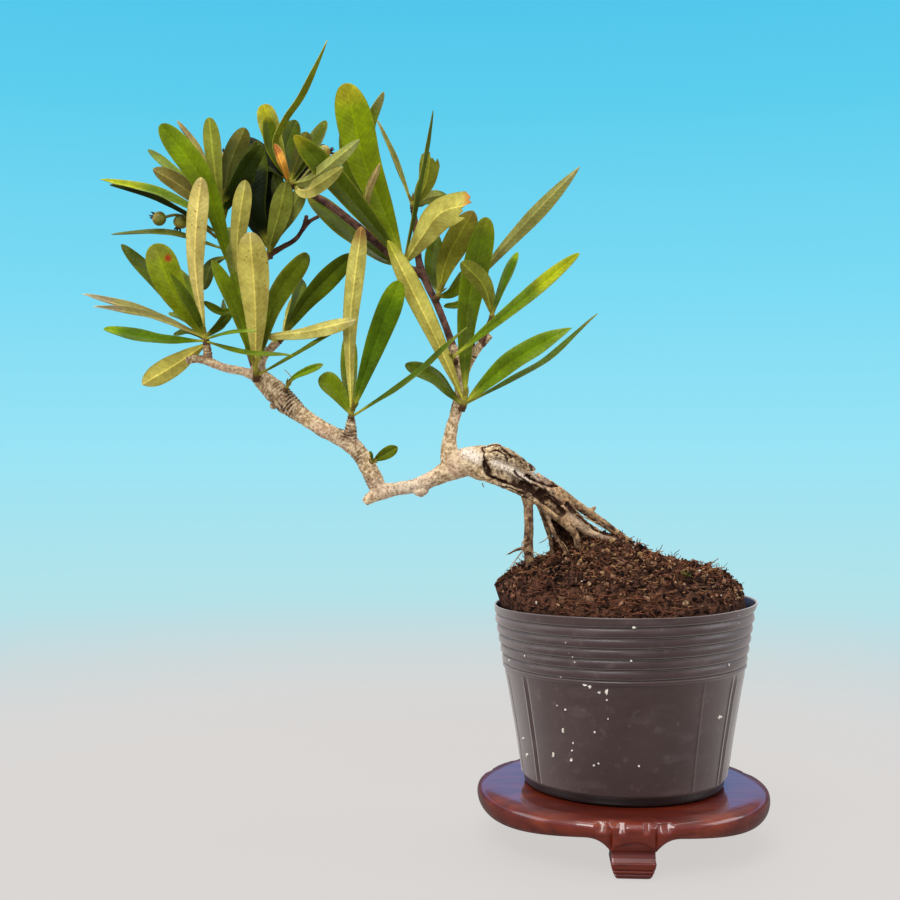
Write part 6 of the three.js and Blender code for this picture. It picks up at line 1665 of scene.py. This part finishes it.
leaf_inputs = {
    "Base Color": mix(tree, times(tree, specks, dots), skin, linear(112, 72, 44)),
    "Roughness": maths(tree, "MULTIPLY_ADD", patches(tree, 300, 0.3, 0.7), 0.08, rough),
    "Specular IOR Level": 0.14,
    "Normal": bump(tree, relief, 0.00004),
}
plug(tree, shader, leaf_inputs)

for name, (stem, *leaves) in SPRAYS.items():
    spray = spray_piece(name.replace("leaves", "spray"), stem, leaves)
    finish_piece(spray, leaf_skin, "leaf", name)

# Dry leaf. One old leaf that has turned orange and curled, still hanging on by its stalk.
DRY_STEM = [[-93.4, 183.5, 10.1, 1.6], [-93.8, 184.8, 9.4, 1.2]]
DRY_LEAVES = [[0.8, [[-95.4, 189.5, 3.6], [-97.8, 195.8, 3.4]], 3.3, 140, "dry"]]
dry_spray = spray_piece("dry_spray", DRY_STEM, DRY_LEAVES)
finish_piece(dry_spray, leaf_skin, "dry_leaf", "dry_leaf")

# Fruits. Small unripe pomes on thin stalks, green-yellow, each with the dark dry points of its
# flower at the end away from the stalk: [place, where that end looks, places along the stalk].
FRUIT_RADIUS = 2.1
STALK_WIDTH = 0.85
FLESH, FLUSH, SEPAL, STALK = (150, 152, 62), (196, 160, 70), (58, 42, 30), (148, 142, 70)
SEPALS = 5
# A sepal: distances out from the fruit's axis, and heights above its middle
SEPAL_SECTION = [(0.2, 1.5), (0.6, 1.95), (0.95, 2.5), (0.8, 2.95)]
FRUITS = {
    "fruit_pair": [
        [
            [-130.4, 174.6, 6], (-1, 0.2, 0.5),
            [[-125, 175.6, 8], [-118, 172.5, 9], [-114.2, 169.2, 9.2]],
        ],
        [
            [-124.4, 173.6, 9], (-0.4, 0.3, -0.9),
            [[-121.4, 173.4, 9.4], [-117, 171.4, 9.6], [-114.2, 169.2, 9.2]],
        ],
    ],
    "fruit_behind": [
        [
            [-111.6, 191.6, 14], (0, 0, 1),
            [[-111.9, 187, 14.6], [-112.6, 180, 13.4], [-112.8, 174, 10.8], [-112.3, 171.6, 7.4]],
        ],
    ],
    "fruit_crown": [
        [
            [-83.6, 193.4, 12], (0.9, 0.2, 0.2),
            [[-86.5, 190, 13], [-89.6, 186.4, 13.2], [-91, 184.9, 13.4]],
        ],
    ],
}
select()
bpy.ops.mesh.primitive_uv_sphere_add(segments=28, ring_count=18, radius=1)
pome_places, pome_faces = as_form(bpy.context.object)


def fruit_parts(place, looks, stalk):
    """One fruit's shapes and their colours: its flesh, its dry sepals and its stalk."""
    middle = seen(*place)
    looks = np.array(looks) / np.linalg.norm(looks)
    side = np.cross(looks, (0.2, 1, 0.1))
    side /= np.linalg.norm(side)
    axes = np.stack([side, np.cross(looks, side), looks])
    dimple = 1 - 0.22 * np.exp(-(((pome_places[:, 2] - 1) / 0.12) ** 2))
    flesh = pome_places * FRUIT_RADIUS * (1, 1, 0.92) * dimple[:, None]
    flush = smoothstep(-0.5, 1, pome_places[:, 2])[:, None]
    skin = rgb(FLESH) * (1 - flush) + rgb(FLUSH) * flush
    parts = [((flesh @ axes + middle, pome_faces), skin)]
    for turn in np.arange(SEPALS) * 2 * math.pi / SEPALS:
        out = np.array((math.cos(turn), math.sin(turn), 0))
        path = [out * reach + (0, 0, height) for reach, height in SEPAL_SECTION]
        path = smooth_path(path, 3) @ axes + middle
        parts.append((tube(path, np.linspace(0.42, 0.1, len(path))), rgb(SEPAL)))
    path, radii = limb_path([[*point, STALK_WIDTH] for point in [place, *stalk]])
    parts.append((tube(path, radii, 8), rgb(STALK)))
    return [(shape, np.broadcast_to(colour, (len(shape[0]), 3))) for shape, colour in parts]


fruit_skin, tree, shader = new_material("unripe_fruit")
blotch = mix(tree, patches(tree, 500, 0.35, 0.65), linear(196, 190, 176), linear(255, 255, 255))
fruit_inputs = {
    "Base Color": mix(tree, 1.0, attribute(tree, "tint")["Color"], blotch, "MULTIPLY"),
    "Roughness": 0.42,
    "Specular IOR Level": 0.45,
    "Normal": bump(tree, patches(tree, 900, 0.3, 0.7), 0.00005),
}
plug(tree, shader, fruit_inputs)
for name, fruits in FRUITS.items():
    shapes, colours = zip(*(part for fruit in fruits for part in fruit_parts(*fruit)))
    piece, _ = gathered(name.replace("fruit", "pomes"), shapes)
    point_colours(piece, "tint", np.concatenate(colours))
    finish_piece(piece, fruit_skin, "fruit", name)

# Floor and light. A plain pale table top that fades into a pale blue studio, a large soft light
# over the front and soft lights at the sides.
select()
bpy.ops.mesh.primitive_circle_add(vertices=96, radius=3, fill_type="NGON")
table_top = bpy.context.object
table_top.name = "table_top"
pale, tree, shader = new_material("pale_table")
rays = node(tree, "ShaderNodeLightPath", {}).outputs
distance = node(tree, "ShaderNodeVectorMath", {0: object_place(tree)}, operation="LENGTH")
pale_inputs = {
    "Base Color": linear(70, 69, 68),
    "Roughness": 0.75,
    "Specular IOR Level": 0.2,
    "Emission Color": mix(tree, rays["Is Glossy Ray"], linear(219, 215, 212), linear(82, 76, 76)),
    "Emission Strength": 0.84,
    "Alpha": soft_step(tree, distance.outputs["Value"], 0.1, 0.62, 1.0, 0.0),
}
plug(tree, shader, pale_inputs)
table_top.data.materials.append(pale)


def ramp(tree, share, first, last, *stops):
    """Colours along a share: the first at 0, the last at 1, and stops between them."""
    made = node(tree, "ShaderNodeValToRGB", {"Fac": share})
    elements = made.color_ramp.elements
    elements[0].color, elements[1].color = linear(*first), linear(*last)
    for place, *colour in stops:
        elements.new(place).color = linear(*colour)
    return made.outputs["Color"]


world = bpy.data.worlds.new("studio")
bpy.context.scene.world = world
world.use_nodes = True
tree = world.node_tree
direction = node(tree, "ShaderNodeTexCoord", {}).outputs["Generated"]
height = node(tree, "ShaderNodeSeparateXYZ", {0: direction}).outputs["Z"]
sky = ramp(
    tree, maths(tree, "MULTIPLY_ADD", height, 1.2, 0.5), (206, 210, 214), (80, 192, 230),
    (0.2, 206, 210, 214), (0.3, 190, 218, 224), (0.38, 176, 226, 234), (0.5, 152, 227, 245),
    (0.64, 124, 218, 244), (0.82, 92, 204, 237), (0.93, 80, 195, 234),
)
mirrored = ramp(
    tree, maths(tree, "MULTIPLY_ADD", height, 0.5, 0.5), (88, 80, 80), (190, 188, 190),
    (0.5, 88, 82, 84), (0.59, 96, 92, 110), (0.608, 138, 172, 238), (0.66, 138, 172, 238),
    (0.7, 104, 98, 106), (0.8, 150, 148, 152),
)
rays = node(tree, "ShaderNodeLightPath", {}).outputs
seen_sky = mix(tree, rays["Is Glossy Ray"], sky, mirrored)
seen_sky = mix(tree, rays["Is Diffuse Ray"], seen_sky, linear(186, 186, 184))
plug(tree, tree.nodes["Background"], {"Color": seen_sky})

middle = Vector(LAYOUT * MM) + Vector((-0.03, 0, 0.1))
for name, place, size, energy in (
    ("key_light", (-0.35, -0.7, 0.95), 0.7, 12.5),
    ("side_light_left", (-1.0, -0.1, 0.35), 0.6, 2.6),
    ("side_light_right", (1.0, -0.15, 0.4), 0.6, 3.2),
    ("top_light", (0.1, 0.3, 1.1), 0.8, 6),
):
    bpy.ops.object.light_add(type="AREA", location=middle + Vector(place))
    light = bpy.context.object
    light.name = name
    light.data.size = size
    light.data.energy = energy
    light.rotation_mode = "QUATERNION"
    light.rotation_quaternion = Vector(place).to_track_quat("Z", "Y")

bpy.context.scene.view_settings.view_transform = "Standard"
